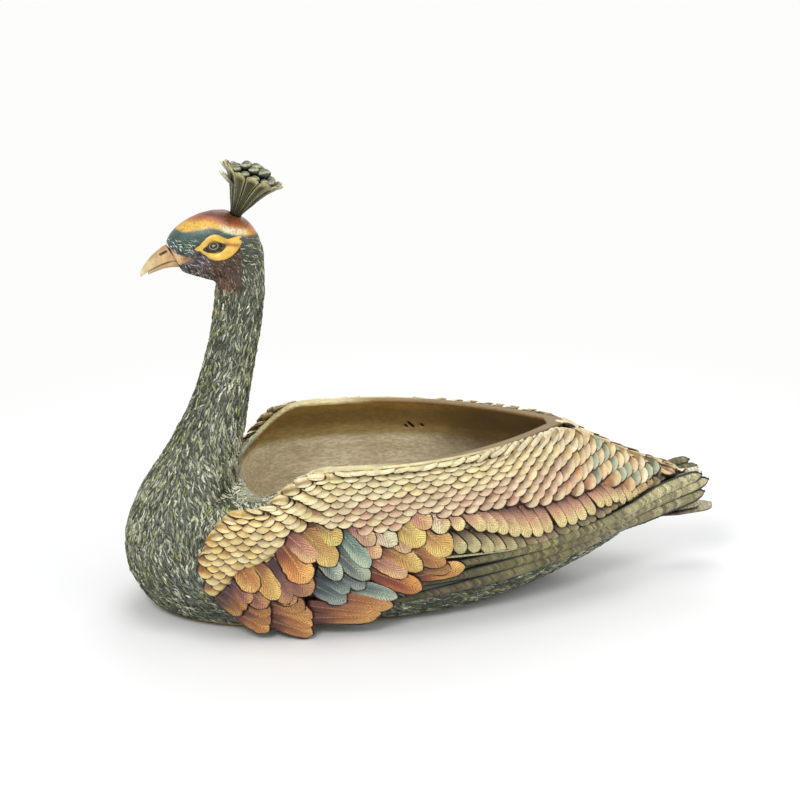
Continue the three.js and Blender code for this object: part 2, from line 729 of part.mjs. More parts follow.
const faceNormal = new THREE.Vector3(FACE_BOTTOM.z - FACE_TOP.z, 0, FACE_TOP.x - FACE_BOTTOM.x).normalize();
const faceOffset = faceNormal.dot(new THREE.Vector3(FACE_TOP.x, 0, FACE_TOP.z));
function behindFace(manifold, shift) {
  return manifold.trimByPlane(faceNormal.clone().negate().toArray(), -(faceOffset - shift));
}
function beforeFace(manifold, shift) {
  return manifold.trimByPlane(faceNormal.toArray(), faceOffset + shift);
}

function eyeSolid(side, gap) {
  const geometry = new THREE.SphereGeometry(EYE.radius + gap, 14, 8);
  const surface = headHalfAt(EYE.x, EYE.z);
  geometry.scale(1, 0.9, 1);
  geometry.translate(EYE.x, side * (surface + PATCH_THICKNESS - EYE.depth), EYE.z);
  return solid(geometry);
}

function headHalfAt(x, z) {
  const top = crownAt(x);
  const bottom = through(HEAD_PROFILE, "x", "bottom")(x);
  const half = through(HEAD_PROFILE, "x", "half")(x);
  const v = THREE.MathUtils.clamp((z - (top + bottom) / 2) / ((top - bottom) / 2), -1, 1);
  return half * Math.pow(1 - Math.pow(Math.abs(v), 2 / 0.92), 0.92 / 2);
}

function crestPoint(radius, angle, along) {
  const local = new THREE.Vector3(radius * Math.cos(angle), radius * Math.sin(angle), along);
  local.applyAxisAngle(new THREE.Vector3(0, 1, 0), CREST_TILT);
  return local.add(new THREE.Vector3(CREST_X, 0, crownAt(CREST_X) - CREST_SINK));
}

function crestStem(gap) {
  const at = (along) => crestPoint(0, 0, along);
  return rod(CREST_STEM_RADIUS * 0.8 + gap, at(-CREST_PLUG - gap), at(CREST_FAN_START + 2), 14);
}

function crestFan(gap) {
  const sides = CREST_PETALS * 4;
  const flare = (t) => CREST_STEM_RADIUS + (CREST_TOP_RADIUS - CREST_STEM_RADIUS) * Math.pow(t, 2.1);
  const levels = [0, 0.45, 0.75, 1];
  const rings = levels.map((t) =>
    Array.from({ length: sides }, (_, k) => {
      const a = (k / sides) * 2 * Math.PI;
      const flute = 1 + CREST_FLUTE * Math.sqrt(t) * Math.cos(CREST_PETALS * a);
      const start = CREST_FAN_START - gap;
      return crestPoint(flare(t) * flute + gap, a, start + (CREST_LENGTH - start) * t);
    }),
  );
  return loft(rings);
}

// A point on the dome that fills the crest's mouth, at a lean from its axis
function domePoint(angle, lean) {
  const across = BUD_DOME_RADIUS * Math.sin(lean);
  return crestPoint(across, angle, CREST_LENGTH - 1 + BUD_DOME_RISE * Math.cos(lean));
}

function bud(angle, lean) {
  const geometry = new THREE.SphereGeometry(BUD_RADIUS, 6, 5);
  const middle = domePoint(angle, lean);
  geometry.translate(middle.x, middle.y, middle.z);
  return solid(geometry);
}

function budDome() {
  const rings = [0.999, 0.85, 0.6, 0.3].map((share) =>
    Array.from({ length: 20 }, (_, k) => domePoint((k / 20) * 2 * Math.PI, (share * Math.PI) / 2)),
  );
  const foot = rings[0].map((p) => p.clone().add(crestPoint(0, 0, -3).sub(crestPoint(0, 0, 0))));
  return loft([foot, ...rings]);
}

function crest() {
  let whole = crestFan(0).add(crestStem(0)).add(budDome());
  for (const { count, lean } of BUD_RINGS) {
    for (let i = 0; i < count; i++) whole = whole.add(bud(((i + 0.5) / count) * 2 * Math.PI, lean));
  }
  return whole;
}

function headAndNeck() {
  const inset = NECK_WALL + SEAT_GAP;
  const neck = aboveSeam(neckSolid(0, SEAM_Z - SEAM_MARGIN, NECK_END, 9), SEAT_GAP);
  const spigot = aboveSeam(neckSolid(inset, NECK_BORE_JOIN, SEAM_Z + SEAM_MARGIN, 4), -SPIGOT_LENGTH);
  const bore = neckSolid(inset + SPIGOT_WALL, SEAM_Z - 45, NECK_BORE_TOP, 5);
  let head = behindFace(headSolid(0), 0).add(neck);
  head = wasm.Manifold.union([head, ...carvedRows(head, NECK_ROWS, () => 0)]);
  head = head.add(belowSeam(spigot, 10)).subtract(bore).subtract(crestStem(SEAT_GAP));
  head = head.subtract(crestFan(SEAT_GAP));
  return head.subtract(eyeSolid(1, SEAT_GAP)).subtract(eyeSolid(-1, SEAT_GAP));
}

function eyePatch(side) {
  const curve = new THREE.SplineCurve(PATCH_OUTLINE.map(([x, z]) => new THREE.Vector2(x, z)));
  const depth = 2 * headHalfAt(EYE.x, EYE.z);
  const face = new THREE.Shape(curve.getPoints(26));
  const geometry = new THREE.ExtrudeGeometry(face, { depth, bevelEnabled: false });
  geometry.rotateX(Math.PI / 2);
  geometry.translate(0, side > 0 ? PATCH_START + depth : -PATCH_START, 0);
  const outer = headSolid(SEAT_GAP + PATCH_THICKNESS);
  const cutter = solid(geometry);
  return outer.intersect(cutter).subtract(headSolid(SEAT_GAP)).subtract(eyeSolid(side, SEAT_GAP));
}

function beak(upper) {
  const rows = [...BEAK_PROFILE].reverse();
  const ridge = through(rows, "x", "ridge");
  const mouth = through(rows, "x", "mouth");
  const under = through(rows, "x", "under");
  const halfAt = through(rows, "x", "half");
  const first = BEAK_PROFILE[0].x + BEAK_ROOT;
  const last = upper ? BEAK_PROFILE[BEAK_PROFILE.length - 1].x : LOWER_BEAK_END_X;
  const steps = 9;
  const rings = Array.from({ length: steps + 1 }, (_, i) => {
    const x = first + ((last - first) * i) / steps;
    const low = upper ? mouth(x) + SEAT_GAP : under(x);
    const high = upper ? ridge(x) : mouth(x) - SEAT_GAP;
    const half = halfAt(x) * (upper ? 1 : LOWER_BEAK_WIDTH);
    const flat = upper ? low : high;
    const round = upper ? high : low;
    const arc = Array.from({ length: 9 }, (_, k) => {
      const a = (k / 8) * Math.PI;
      return new THREE.Vector3(x, half * Math.cos(a), flat + (round - flat) * Math.pow(Math.sin(a), 0.8));
    });
    const floor = (y) => new THREE.Vector3(x, y, flat - (round - flat) * 0.02);
    const ring = [...arc, floor(-half / 3), floor(half / 3)];
    return [...ring, floor(half / 3).lerp(ring[0], 0.5)];
  });
  return beforeFace(loft(rings), SEAT_GAP);
}

const finishes = {
  bronze: new THREE.MeshStandardMaterial({ color: 0x3c4a3c, roughness: 0.5, metalness: 0.4 }),
  brass: new THREE.MeshStandardMaterial({ color: 0xb09050, roughness: 0.35, metalness: 0.9 }),
  gold: new THREE.MeshStandardMaterial({ color: 0xd8bd72, roughness: 0.45, metalness: 0.3 }),
  copper: new THREE.MeshStandardMaterial({ color: 0xb07848, roughness: 0.45, metalness: 0.3 }),
  olive: new THREE.MeshStandardMaterial({ color: 0x6a6a44, roughness: 0.5, metalness: 0.3 }),
  yellow: new THREE.MeshStandardMaterial({ color: 0xe8c040, roughness: 0.3, metalness: 0.0 }),
  glass: new THREE.MeshStandardMaterial({ color: 0x202020, roughness: 0.08, metalness: 0.0 }),
};

const figure = new THREE.Group();
function place(name, manifold, finish) {
  const mesh = new THREE.Mesh(geometryFrom(manifold), finishes[finish].clone());
  mesh.name = name;
  figure.add(mesh);
}

place("body_casting", bodyCasting(), "bronze");
place("base_plate", basePlate(), "brass");
place("head_and_neck", headAndNeck(), "bronze");
place("upper_beak", beak(true), "gold");
place("lower_beak", beak(false), "gold");
place("crest", crest(), "olive");
for (const [label, side] of [["left", -1], ["right", 1]]) {
  place(`eye_${label}`, eyeSolid(side, 0), "glass");
  place(`eye_patch_${label}`, eyePatch(side), "yellow");
  place(`wing_${label}`, wingShell(side), "gold");
  FAN_FEATHERS.forEach((spec, i) => {
    place(`fan_feather_${label}_${i + 1}`, fanFeather(spec, side), "copper");
  });
  TAIL_FEATHERS.forEach((spec) => {
    place(`tail_feather_${spec.name}_${label}`, tailFeather(spec, side), "olive");
  });
}
place("tail_feather_keel", middleFeather(KEEL_FEATHER), "olive");
place("tail_feather_top", middleFeather(TOP_FEATHER), "olive");

// The origin is under the middle of the whole figure
const extent = new THREE.Box3().setFromObject(figure);
figure.position.set(-(extent.min.x + extent.max.x) / 2, 0, -extent.min.z);

export default figure;
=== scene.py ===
# A painted peacock figure whose back is an open bowl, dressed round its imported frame.
# The frame is in metres. Sizes here are in millimetres, times MM where they meet the frame. The bird faces
# -X, and the side that the camera sees is its left, at -Y.
import math
from itertools import product

import bpy
import numpy as np
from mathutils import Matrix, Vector
from mathutils.bvhtree import BVHTree


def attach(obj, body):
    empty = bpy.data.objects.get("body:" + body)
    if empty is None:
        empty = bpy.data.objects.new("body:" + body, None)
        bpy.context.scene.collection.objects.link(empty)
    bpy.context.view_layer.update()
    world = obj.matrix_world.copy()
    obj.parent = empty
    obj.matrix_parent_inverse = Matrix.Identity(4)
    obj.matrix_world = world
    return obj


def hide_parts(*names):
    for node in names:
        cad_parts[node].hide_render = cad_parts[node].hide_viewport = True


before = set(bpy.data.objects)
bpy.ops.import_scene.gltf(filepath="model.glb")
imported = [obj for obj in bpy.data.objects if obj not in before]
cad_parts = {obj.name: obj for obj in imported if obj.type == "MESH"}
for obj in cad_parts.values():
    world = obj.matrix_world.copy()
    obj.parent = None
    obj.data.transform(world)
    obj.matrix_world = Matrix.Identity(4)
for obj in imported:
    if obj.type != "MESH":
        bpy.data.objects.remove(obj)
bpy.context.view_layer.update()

MM = 0.001
SIDES = {"left": -1, "right": 1}
SEEDS = {"left": 11, "right": 29, "small feathers": 3, "crest": 5}

# Camera and picture
CAMERA_AZIMUTH = math.radians(-10)
CAMERA_ELEVATION = math.radians(19)
CAMERA_DISTANCE = 1.5
CAMERA_TARGET = Vector((-17.35 * MM, 0, 137 * MM))
CAMERA_LENS = 100

# Rim of the bowl: its height, and where it falls away beside the neck
RIM_HEIGHT = 116.5
RIM_DIP = 26
DIP_FROM_X = -77.4
DIP_TO_X = -126.4
NECK_SEAM = {"x": -133, "z": 162, "tilt": math.radians(15.5)}

# Flank sheets: the grid on which the sides of the figure are sampled
SHEET_STEP = 2
WING_SHEET_STEP = 1
SHEET_X = (-212, 212)
SHEET_Z = (-4, 132)
# Height below which the sheet under the fan hangs straight down
DRAPE_HEIGHT = 42
# How far from the middle plane the sheet under the tail feathers stays at least, and how softly it does
TAIL_SPREAD = 11
TAIL_BLEND = 6
# How far the sides of the sheet on top of the tail may fall, and how many rounds it is softened
RIDGE_FALL = 9
RIDGE_SOFTEN = 5


def srgb(text):
    """A colour written as six hex digits, as linear light."""
    values = [int(text[i : i + 2], 16) / 255 for i in (0, 2, 4)]
    return np.array([v / 12.92 if v <= 0.04045 else ((v + 0.055) / 1.055) ** 2.4 for v in values])


def smoothstep(x, low, high):
    t = np.clip((np.asarray(x, float) - low) / (high - low), 0, 1)
    return t * t * (3 - 2 * t)


def mix(a, b, t):
    t = np.asarray(t, float)[..., None]
    return np.asarray(a) * (1 - t) + np.asarray(b) * t


def line_at(points, x):
    """The height of a line of (x, z) points at x."""
    xs, zs = zip(*points)
    return np.interp(x, xs, zs)


def rim_line(x):
    """Height of the rim at x, in millimetres."""
    return RIM_HEIGHT - RIM_DIP * smoothstep(-np.asarray(x, float), -DIP_FROM_X, -DIP_TO_X)


def below_rim(x):
    return rim_line(x) - 4


# Surfaces of the frame


def joined(nodes):
    """The points and faces of some nodes of the frame, as those of one mesh."""
    points, faces = [], []
    for node in nodes:
        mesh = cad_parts[node].data
        start = len(points)
        points += [v.co.copy() for v in mesh.vertices]
        faces += [[start + i for i in p.vertices] for p in mesh.polygons]
    return points, faces


def tree_of(*nodes):
    """A search tree over the surfaces of some nodes of the frame."""
    return BVHTree.FromPolygons(*joined(nodes))


def blurred(values, rounds):
    """The grid with each value drawn towards its neighbours."""
    for _ in range(rounds):
        padded = np.pad(values, 1, mode="edge")
        across = (padded[:-2] + 2 * padded[1:-1] + padded[2:]) / 4
        values = (across[:, :-2] + 2 * across[:, 1:-1] + across[:, 2:]) / 4
    return values


def filled(values, known, rounds=60):
    """The grid with its unknown places filled from the known ones beside them."""
    values, known = np.where(known, values, 0.0), known.astype(float)
    for _ in range(rounds):
        v, k = np.pad(values * known, 1), np.pad(known, 1)
        shifts = [(a, b) for a in (0, 1, 2) for b in (0, 1, 2)]
        total = sum(v[a : a + values.shape[0], b : b + values.shape[1]] for a, b in shifts)
        count = sum(k[a : a + values.shape[0], b : b + values.shape[1]] for a, b in shifts)
        fresh = (known == 0) & (count > 0)
        values = np.where(fresh, total / np.maximum(count, 1e-9), values)
        known = np.where(fresh, 1.0, known)
    return values


def between(grid, i, k):
    """The values of a grid at places that may lie between its points."""
    a, b = i.astype(int), k.astype(int)
    s, t = i - a, k - b
    low = grid[a, b] * (1 - s) + grid[a + 1, b] * s
    high = grid[a, b + 1] * (1 - s) + grid[a + 1, b + 1] * s
    return low * (1 - t) + high * t


class Sheet:
    """A smooth sheet: how far the figure's side stands out from its middle plane at each x and z, in mm. It
    follows the tree below its reach, hangs straight down below its drape and is no narrower than about its
    spread."""

    def __init__(
        self, tree, soften, reach=None, drape=None, spread=0.0, x=SHEET_X, z=SHEET_Z, step=SHEET_STEP
    ):
        self.step = step
        self.xs = np.arange(x[0], x[1] + step / 2, step)
        self.zs = np.arange(z[0], z[1] + step / 2, step)
        out = np.zeros((len(self.xs), len(self.zs)))
        known = np.zeros(out.shape, bool)
        for i, x in enumerate(self.xs):
            for k, z in enumerate(self.zs):
                hit = tree.ray_cast(Vector((x * MM, -0.3, z * MM)), Vector((0, 1, 0)))[0]
                if hit is not None and hit.y < -1e-4 and (reach is None or z < reach(x)):
                    out[i, k] = -hit.y / MM
                    known[i, k] = True
        if drape is not None:
            first = int(np.searchsorted(self.zs, drape))
            out[:, :first] = out[:, first : first + 1]
            known[:, :first] = known[:, first : first + 1]
        out = filled(out, known)
        if spread:
            out = (out + spread + np.hypot(out - spread, TAIL_BLEND)) / 2
        self.out = blurred(out, soften)
        self.slope_x, self.slope_z = np.gradient(self.out, step)
        climb = np.hypot(step, np.diff(self.out, axis=1))
        self.arc = np.pad(np.cumsum(climb, axis=1), ((0, 0), (1, 0)))

    def read(self, grid, x, z):
        i = np.clip((x - self.xs[0]) / self.step, 0, len(self.xs) - 1.001)
        k = np.clip((z - self.zs[0]) / self.step, 0, len(self.zs) - 1.001)
        return between(grid, i, k)

    def down(self, x, z, distance):
        """The height that is a distance down the sheet from z, or up it where the distance is below zero."""
        arc = self.arc[int(np.clip(round((x - self.xs[0]) / self.step), 0, len(self.xs) - 1))]
        return float(np.interp(np.interp(z, self.zs, arc) - distance, arc, self.zs))

    def points(self, x, z, lift, side):
        """Points of the frame over (x, z), lifted along the sheet's own normal."""
        out = self.read(self.out, x, z)
        slope_x, slope_z = self.read(self.slope_x, x, z), self.read(self.slope_z, x, z)
        normal = np.stack([-slope_x, np.ones_like(x), -slope_z], -1)
        normal /= np.linalg.norm(normal, axis=-1, keepdims=True)
        placed = np.stack([x, out, z], -1) + normal * lift[..., None]
        placed[..., 1] = np.maximum(placed[..., 1], 0.3) * side
        return placed * MM


class Ridge:
    """A smooth sheet: how high the top of the tail is at each x and y, in mm. It is read like a flank's."""

    def __init__(self, tree, x, y):
        self.xs, self.ys = np.arange(*x, 1.0), np.arange(*y, 1.0)
        top = np.zeros((len(self.xs), len(self.ys)))
        for i, x in enumerate(self.xs):
            for k, y in enumerate(self.ys):
                hit = tree.ray_cast(Vector((x * MM, y * MM, 0.3)), Vector((0, 0, -1)))[0]
                top[i, k] = hit.z / MM if hit is not None else 0
        lowest = top.max(axis=1, keepdims=True) - RIDGE_FALL
        self.top = blurred(np.maximum(top, lowest), RIDGE_SOFTEN)

    def points(self, x, y, lift, side):
        i = np.clip(x - self.xs[0], 0, len(self.xs) - 1.001)
        k = np.clip(y - self.ys[0], 0, len(self.ys) - 1.001)
        return np.stack([x, y, between(self.top, i, k) + lift], -1) * MM


# Meshes


def grid_faces(index):
    """The four-sided faces between the numbered points of a grid."""
    corners = [index[:-1, :-1], index[:-1, 1:], index[1:, 1:], index[1:, :-1]]
    return np.stack(corners, -1).reshape(-1, 4)


class Plumage:
    """Collects feathers into one mesh. Each point has a paint colour, and flat coordinates in millimetres
    across and along its feather."""

    def __init__(self):
        self.points, self.paint, self.flat, self.faces = [], [], [], []
        self.total = 0

    def add(self, points, paint, flat, turn, closed=True):
        """One feather from a grid of points, stations by columns. A closed one gets a flat underside."""
        rows, columns = points.shape[:2]
        index = self.total + np.arange(rows * columns).reshape(rows, columns)
        quads = grid_faces(index)
        if turn:
            quads = quads[:, ::-1]
        self.faces += quads.tolist()
        if closed:
            under = np.stack([index[:-1, 0], index[1:, 0], index[1:, -1], index[:-1, -1]], -1)
            ends = [index[0, ::-1], index[-1]]
            self.faces += (under[:, ::-1] if turn else under).tolist()
            self.faces += [(end[::-1] if turn else end).tolist() for end in ends]
        self.points.append(points.reshape(-1, 3))
        self.paint.append(np.broadcast_to(paint, points.shape).reshape(-1, 3))
        self.flat.append(flat.reshape(-1, 2))
        self.total += rows * columns

    def build(self, name, material):
        mesh = new_mesh(name, np.concatenate(self.points), self.faces, np.concatenate(self.paint))
        layer = mesh.uv_layers.new(name="flat")
        corners = np.zeros(len(mesh.loops), int)
        mesh.loops.foreach_get("vertex_index", corners)
        layer.data.foreach_set("uv", np.concatenate(self.flat)[corners].astype(np.float32).ravel())
        return new_object(name, mesh, material)


def new_mesh(name, points, faces, paint):
    mesh = bpy.data.meshes.new(name)
    mesh.from_pydata(points.tolist(), [], faces)
    mesh.polygons.foreach_set("use_smooth", np.ones(len(mesh.polygons), bool))
    set_paint(mesh, paint)
    mesh.update()
    return mesh


def set_paint(mesh, paint):
    layer = mesh.color_attributes.new("paint", "FLOAT_COLOR", "POINT")
    colours = np.concatenate([np.clip(paint, 0, 1), np.ones((len(paint), 1))], 1)
    layer.data.foreach_set("color", colours.astype(np.float32).ravel())


def new_object(name, mesh, *materials):
    piece = bpy.data.objects.new(name, mesh)
    bpy.context.scene.collection.objects.link(piece)
    for material in materials:
        mesh.materials.append(material)
    return piece


def dress(piece, slot, *nodes):
    """The piece rides on the figure and stands for the nodes given, which it hides. The slot is not used."""
    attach(piece, "root")
    if nodes:
        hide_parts(*nodes)
    return piece


def even_copy(name, node, voxel, rounds):
    """The surface of a node, meshed again finely and evenly and then smoothed some rounds."""
    points, faces = joined([node])
    raw = bpy.data.meshes.new(name)
    raw.from_pydata(points, [], faces)
    holder = bpy.data.objects.new(name, raw)
    bpy.context.scene.collection.objects.link(holder)
    remesh = holder.modifiers.new("even", "REMESH")
    remesh.mode = "VOXEL"
    remesh.voxel_size = voxel * MM
    soften = holder.modifiers.new("soften", "SMOOTH")
    soften.factor = 0.5
    soften.iterations = rounds
    made = bpy.data.meshes.new_from_object(holder.evaluated_get(bpy.context.evaluated_depsgraph_get()))
    bpy.data.objects.remove(holder)
    bpy.data.meshes.remove(raw)
    return Surface(made)


class Surface:
    """A mesh as arrays: points, faces, edges and normals."""

    def __init__(self, mesh):
        self.points = np.zeros(len(mesh.vertices) * 3)
        mesh.vertices.foreach_get("co", self.points)
        self.points = self.points.reshape(-1, 3)
        self.faces = [list(p.vertices) for p in mesh.polygons]
        self.edges = np.zeros(len(mesh.edges) * 2, int)
        mesh.edges.foreach_get("vertices", self.edges)
        self.edges = self.edges.reshape(-1, 2)
        self.normals = np.zeros(len(mesh.vertices) * 3)
        mesh.vertices.foreach_get("normal", self.normals)
        self.normals = self.normals.reshape(-1, 3)
        bpy.data.meshes.remove(mesh)

    def relax(self, weight, rounds):
        """Draws each point towards its neighbours, by its own weight."""
        a, b = self.edges.T
        count = np.bincount(self.edges.ravel(), minlength=len(self.points))[:, None]
        for _ in range(rounds):
            total = np.zeros_like(self.points)
            for axis in range(3):
                total[:, axis] += np.bincount(a, self.points[b, axis], len(self.points))
                total[:, axis] += np.bincount(b, self.points[a, axis], len(self.points))
            self.points += (total / np.maximum(count, 1) - self.points) * weight[:, None]

    def part(self, keep):
        """The faces whose points are all kept, with new numbers, and the old numbers of their points."""
        faces = [f for f in self.faces if all(keep[i] for i in f)]
        used = np.unique(np.concatenate([np.array(f) for f in faces]))
        new_number = np.full(len(self.points), -1)
        new_number[used] = np.arange(len(used))
        return [[int(new_number[i]) for i in f] for f in faces], used


# Materials


def shader_nodes(name):
    material = bpy.data.materials.new(name)
    material.use_nodes = True
    tree = material.node_tree
    tree.nodes.clear()
    output = tree.nodes.new("ShaderNodeOutputMaterial")
    surface = tree.nodes.new("ShaderNodeBsdfPrincipled")
    tree.links.new(surface.outputs[0], output.inputs[0])
    return material, tree, surface


def add(tree, kind, inputs=(), **settings):
    """A shader node with its settings, and its inputs linked or set by name or number."""
    node = tree.nodes.new("ShaderNode" + kind)
    for key, value in settings.items():
        setattr(node, key, value)
    for key, value in dict(inputs).items():
        if isinstance(value, bpy.types.NodeSocket):
            tree.links.new(value, node.inputs[key])
        else:
            node.inputs[key].default_value = value
    return node


def mixed(tree, factor, first, second, blend="MIX"):
    """The colour socket of a mix of two colours."""
    node = add(tree, "Mix", data_type="RGBA", blend_type=blend)
    for index, value in ((0, factor), (6, first), (7, second)):
        if isinstance(value, bpy.types.NodeSocket):
            tree.links.new(value, node.inputs[index])
        else:
            node.inputs[index].default_value = value
    return node.outputs[2]


def ranged(tree, value, low, high, to_low=0.0, to_high=1.0):
    """A value moved from one range to another, and kept within it."""
    inputs = {0: value, 1: low, 2: high, 3: to_low, 4: to_high}
    return add(tree, "MapRange", inputs, clamp=True).outputs[0]


def arithmetic(tree, operation, *values):
    return add(tree, "Math", dict(enumerate(values)), operation=operation).outputs[0]


# How fine the grain and the clouds of the paint are
GRAIN_SCALE = 900.0
CLOUD_SCALE = 180.0


def painted(name, wash_and_shade_colour, metallic, roughness, coat, mottle, crevice, barbs=None, relief=0.35):
    """Paint over a casting: the colour held at each point, mottled, and darkened in crevices by a wash and by
    painted shade.
    """
    material, tree, surface = shader_nodes(name)
    place = add(tree, "TexCoord").outputs["Object"]
    paint = add(tree, "Attribute", attribute_name="paint", attribute_type="GEOMETRY").outputs["Color"]
    grain = add(tree, "TexNoise", {"Vector": place, "Scale": GRAIN_SCALE, "Detail": 5.0, "Roughness": 0.62})
    cloud = add(tree, "TexNoise", {"Vector": place, "Scale": CLOUD_SCALE, "Detail": 3.0, "Roughness": 0.55})
    dark = ranged(tree, grain.outputs[0], 0.36, 0.62, 1 - mottle, 1 + mottle * 0.5)
    grey = add(tree, "CombineColor", {0: dark, 1: dark, 2: dark}).outputs[0]
    varied = mixed(tree, 1.0, paint, grey, "MULTIPLY")
    tone = ranged(tree, cloud.outputs[0], 0.35, 0.65, -0.16, 0.16)
    shaded = add(tree, "HueSaturation", {"Color": varied, "Value": arithmetic(tree, "ADD", 1.0, tone)})
    height = grain.outputs[0]
    colour = shaded.outputs[0]
    if barbs:
        colour, height = barbed(tree, barbs, cloud.outputs[0], height, colour, wash_and_shade_colour)
    # Ambient occlusion darkens the crevices: partly the casting's dark wash, partly painted shade where light
    # can't reach
    nearness = add(tree, "AmbientOcclusion", {"Distance": crevice * MM}, samples=6).outputs["AO"]
    depth = ranged(tree, nearness, 0.34, 0.88, 0.96, 0.0)
    with_wash_and_shade = mixed(tree, depth, colour, (*wash_and_shade_colour, 1))
    tree.links.new(with_wash_and_shade, surface.inputs["Base Color"])
    surface.inputs["Metallic"].default_value = metallic
    surface.inputs["Coat Weight"].default_value = coat
    surface.inputs["Coat Roughness"].default_value = 0.25
    worn = ranged(tree, grain.outputs[0], 0.3, 0.7, roughness - 0.08, roughness + 0.14)
    tree.links.new(worn, surface.inputs["Roughness"])
    bump = add(tree, "Bump", {"Height": height, "Strength": relief, "Distance": 0.35 * MM})
    tree.links.new(bump.outputs[0], surface.inputs["Normal"])
    return material


def barbed(tree, barbs, cloud, grain, colour, wash_and_shade_colour):
    """Colour and height with barbs: fine ridges that slant away from a feather's quill, with a dark wash and
    painted shade in the grooves between them. They are given as their pitch in mm, their slope and the depth
    of that wash and shade."""
    pitch, slope, wash_and_shade_depth = barbs
    flat = add(tree, "UVMap", uv_map="flat").outputs[0]
    across, along, _ = add(tree, "SeparateXYZ", {0: flat}).outputs
    away = arithmetic(tree, "ABSOLUTE", across)
    wobble = ranged(tree, cloud, 0.3, 0.7, -1.2, 1.2)
    ahead = arithmetic(tree, "ADD", along, wobble)
    slant = arithmetic(tree, "SUBTRACT", ahead, arithmetic(tree, "MULTIPLY", away, slope))
    wave = arithmetic(tree, "SINE", arithmetic(tree, "MULTIPLY", slant, 2 * math.pi / pitch))
    line = ranged(tree, wave, -1.0, -0.35, 0.0, 1.0)
    broken = ranged(tree, cloud, 0.4, 0.6, 0.35, 1.0)
    height = arithmetic(tree, "ADD", arithmetic(tree, "MULTIPLY", line, 1.6), grain)
    wash_and_shade = arithmetic(tree, "MULTIPLY", ranged(tree, line, 0.0, 1.0, wash_and_shade_depth, 0.0), broken)
    return mixed(tree, wash_and_shade, colour, (*wash_and_shade_colour, 1)), height


def aged_brass(name, pale, dark, metallic, roughness, pits=0.5, painted_points=True):
    """Brass with a cloudy patina, dark pits and fine scratches, tinted by any colours held at its points, and
    darkened in crevices by a wash and painted shade.
    """
    material, tree, surface = shader_nodes(name)
    place = add(tree, "TexCoord").outputs["Object"]
    stretch = add(tree, "Mapping", {"Vector": place, "Scale": (0.5, 1.0, 1.6)}).outputs[0]
    cloud = add(tree, "TexNoise", {"Vector": stretch, "Scale": 60.0, "Detail": 6.0, "Roughness": 0.6})
    fine = add(tree, "TexNoise", {"Vector": stretch, "Scale": 420.0, "Detail": 6.0, "Roughness": 0.7})
    spots = add(tree, "TexNoise", {"Vector": stretch, "Scale": 190.0, "Detail": 4.0, "Roughness": 0.75})
    patina = mixed(tree, ranged(tree, cloud.outputs[0], 0.36, 0.64), (*dark, 1), (*pale, 1))
    if painted_points:
        paint = add(tree, "Attribute", attribute_name="paint", attribute_type="GEOMETRY").outputs["Color"]
        patina = mixed(tree, 1.0, paint, patina, "MULTIPLY")
    speck = ranged(tree, fine.outputs[0], 0.42, 0.6, 0.32, 0.0)
    speckled = mixed(tree, speck, patina, (0.05, 0.035, 0.02, 1))
    pit = ranged(tree, spots.outputs[0], 0.6, 0.7, 0.0, pits)
    pitted = mixed(tree, pit, speckled, (0.035, 0.025, 0.015, 1))
    # Ambient occlusion darkens crevices: partly patina, partly painted shade
    nearness = add(tree, "AmbientOcclusion", {"Distance": 3 * MM}, samples=6).outputs["AO"]
    with_wash_and_shade = mixed(tree, ranged(tree, nearness, 0.2, 0.8, 0.7, 0.0), pitted, (0.05, 0.03, 0.015, 1))
    tree.links.new(with_wash_and_shade, surface.inputs["Base Color"])
    surface.inputs["Metallic"].default_value = metallic
    rough = ranged(tree, fine.outputs[0], 0.3, 0.7, roughness - 0.08, roughness + 0.16)
    tree.links.new(rough, surface.inputs["Roughness"])
    height = arithmetic(tree, "ADD", fine.outputs[0], arithmetic(tree, "MULTIPLY", cloud.outputs[0], 1.5))
    bump = add(tree, "Bump", {"Height": height, "Strength": 0.35, "Distance": 0.5 * MM})
    tree.links.new(bump.outputs[0], surface.inputs["Normal"])
    return material


# Feathers

# Outline and relief of each kind of feather: stations along it and at its tip, columns across it, width at
# its root, where it is widest, how blunt its tip is, height of its crown and quill, how ragged its sides are,
# and how far its darkened edge (a dark wash and painted shade) falls and flares, in mm
COLUMNS_WIDE = (-1, -0.8, -0.45, -0.1, 0, 0.1, 0.45, 0.8, 1)
COLUMNS_NARROW = (-1, -0.62, 0, 0.62, 1)
SCALE = {"along": 3, "tip": 5, "columns": COLUMNS_NARROW, "narrow": 0.86, "widest": 0.64, "blunt": 1.9,
         "crown": 0.6, "quill": 0.0, "ragged": 0.03, "edge": 0.65, "flare": 1.35}
FAN = {"along": 9, "tip": 7, "columns": COLUMNS_WIDE, "narrow": 0.62, "widest": 0.66, "blunt": 2.3,
       "crown": 0.8, "quill": 0.45, "ragged": 0.06, "edge": 0.6, "flare": 1.2}
COVERT = {"along": 6, "tip": 6, "columns": COLUMNS_WIDE, "narrow": 0.8, "widest": 0.8, "blunt": 2.2,
          "crown": 0.8, "quill": 0.15, "ragged": 0.03, "edge": 0.5, "flare": 1.0}
QUILL = {"along": 24, "tip": 4, "columns": COLUMNS_NARROW, "narrow": 0.5, "widest": 0.8, "blunt": 2.0,
         "crown": 0.8, "quill": 0.0, "ragged": 0.0, "edge": 0.8, "flare": 0.3}
BLADE = {"along": 300, "tip": 12, "columns": COLUMNS_WIDE, "narrow": 0.25, "widest": 0.94, "blunt": 2.1,
         "crown": 1.3, "quill": 0.0, "ragged": 0.05, "edge": 0.6, "flare": 1.3}
# Where the dark wash and painted shade start beside the outline, how far the surface has fallen there, and
# the shares of a feather's length over which they set in
EDGE_WASH_AND_SHADE = {"flare": 0.12, "fall": 0.15, "from": 0.12, "to": 0.4}
EDGE_THICKNESS = 0.3
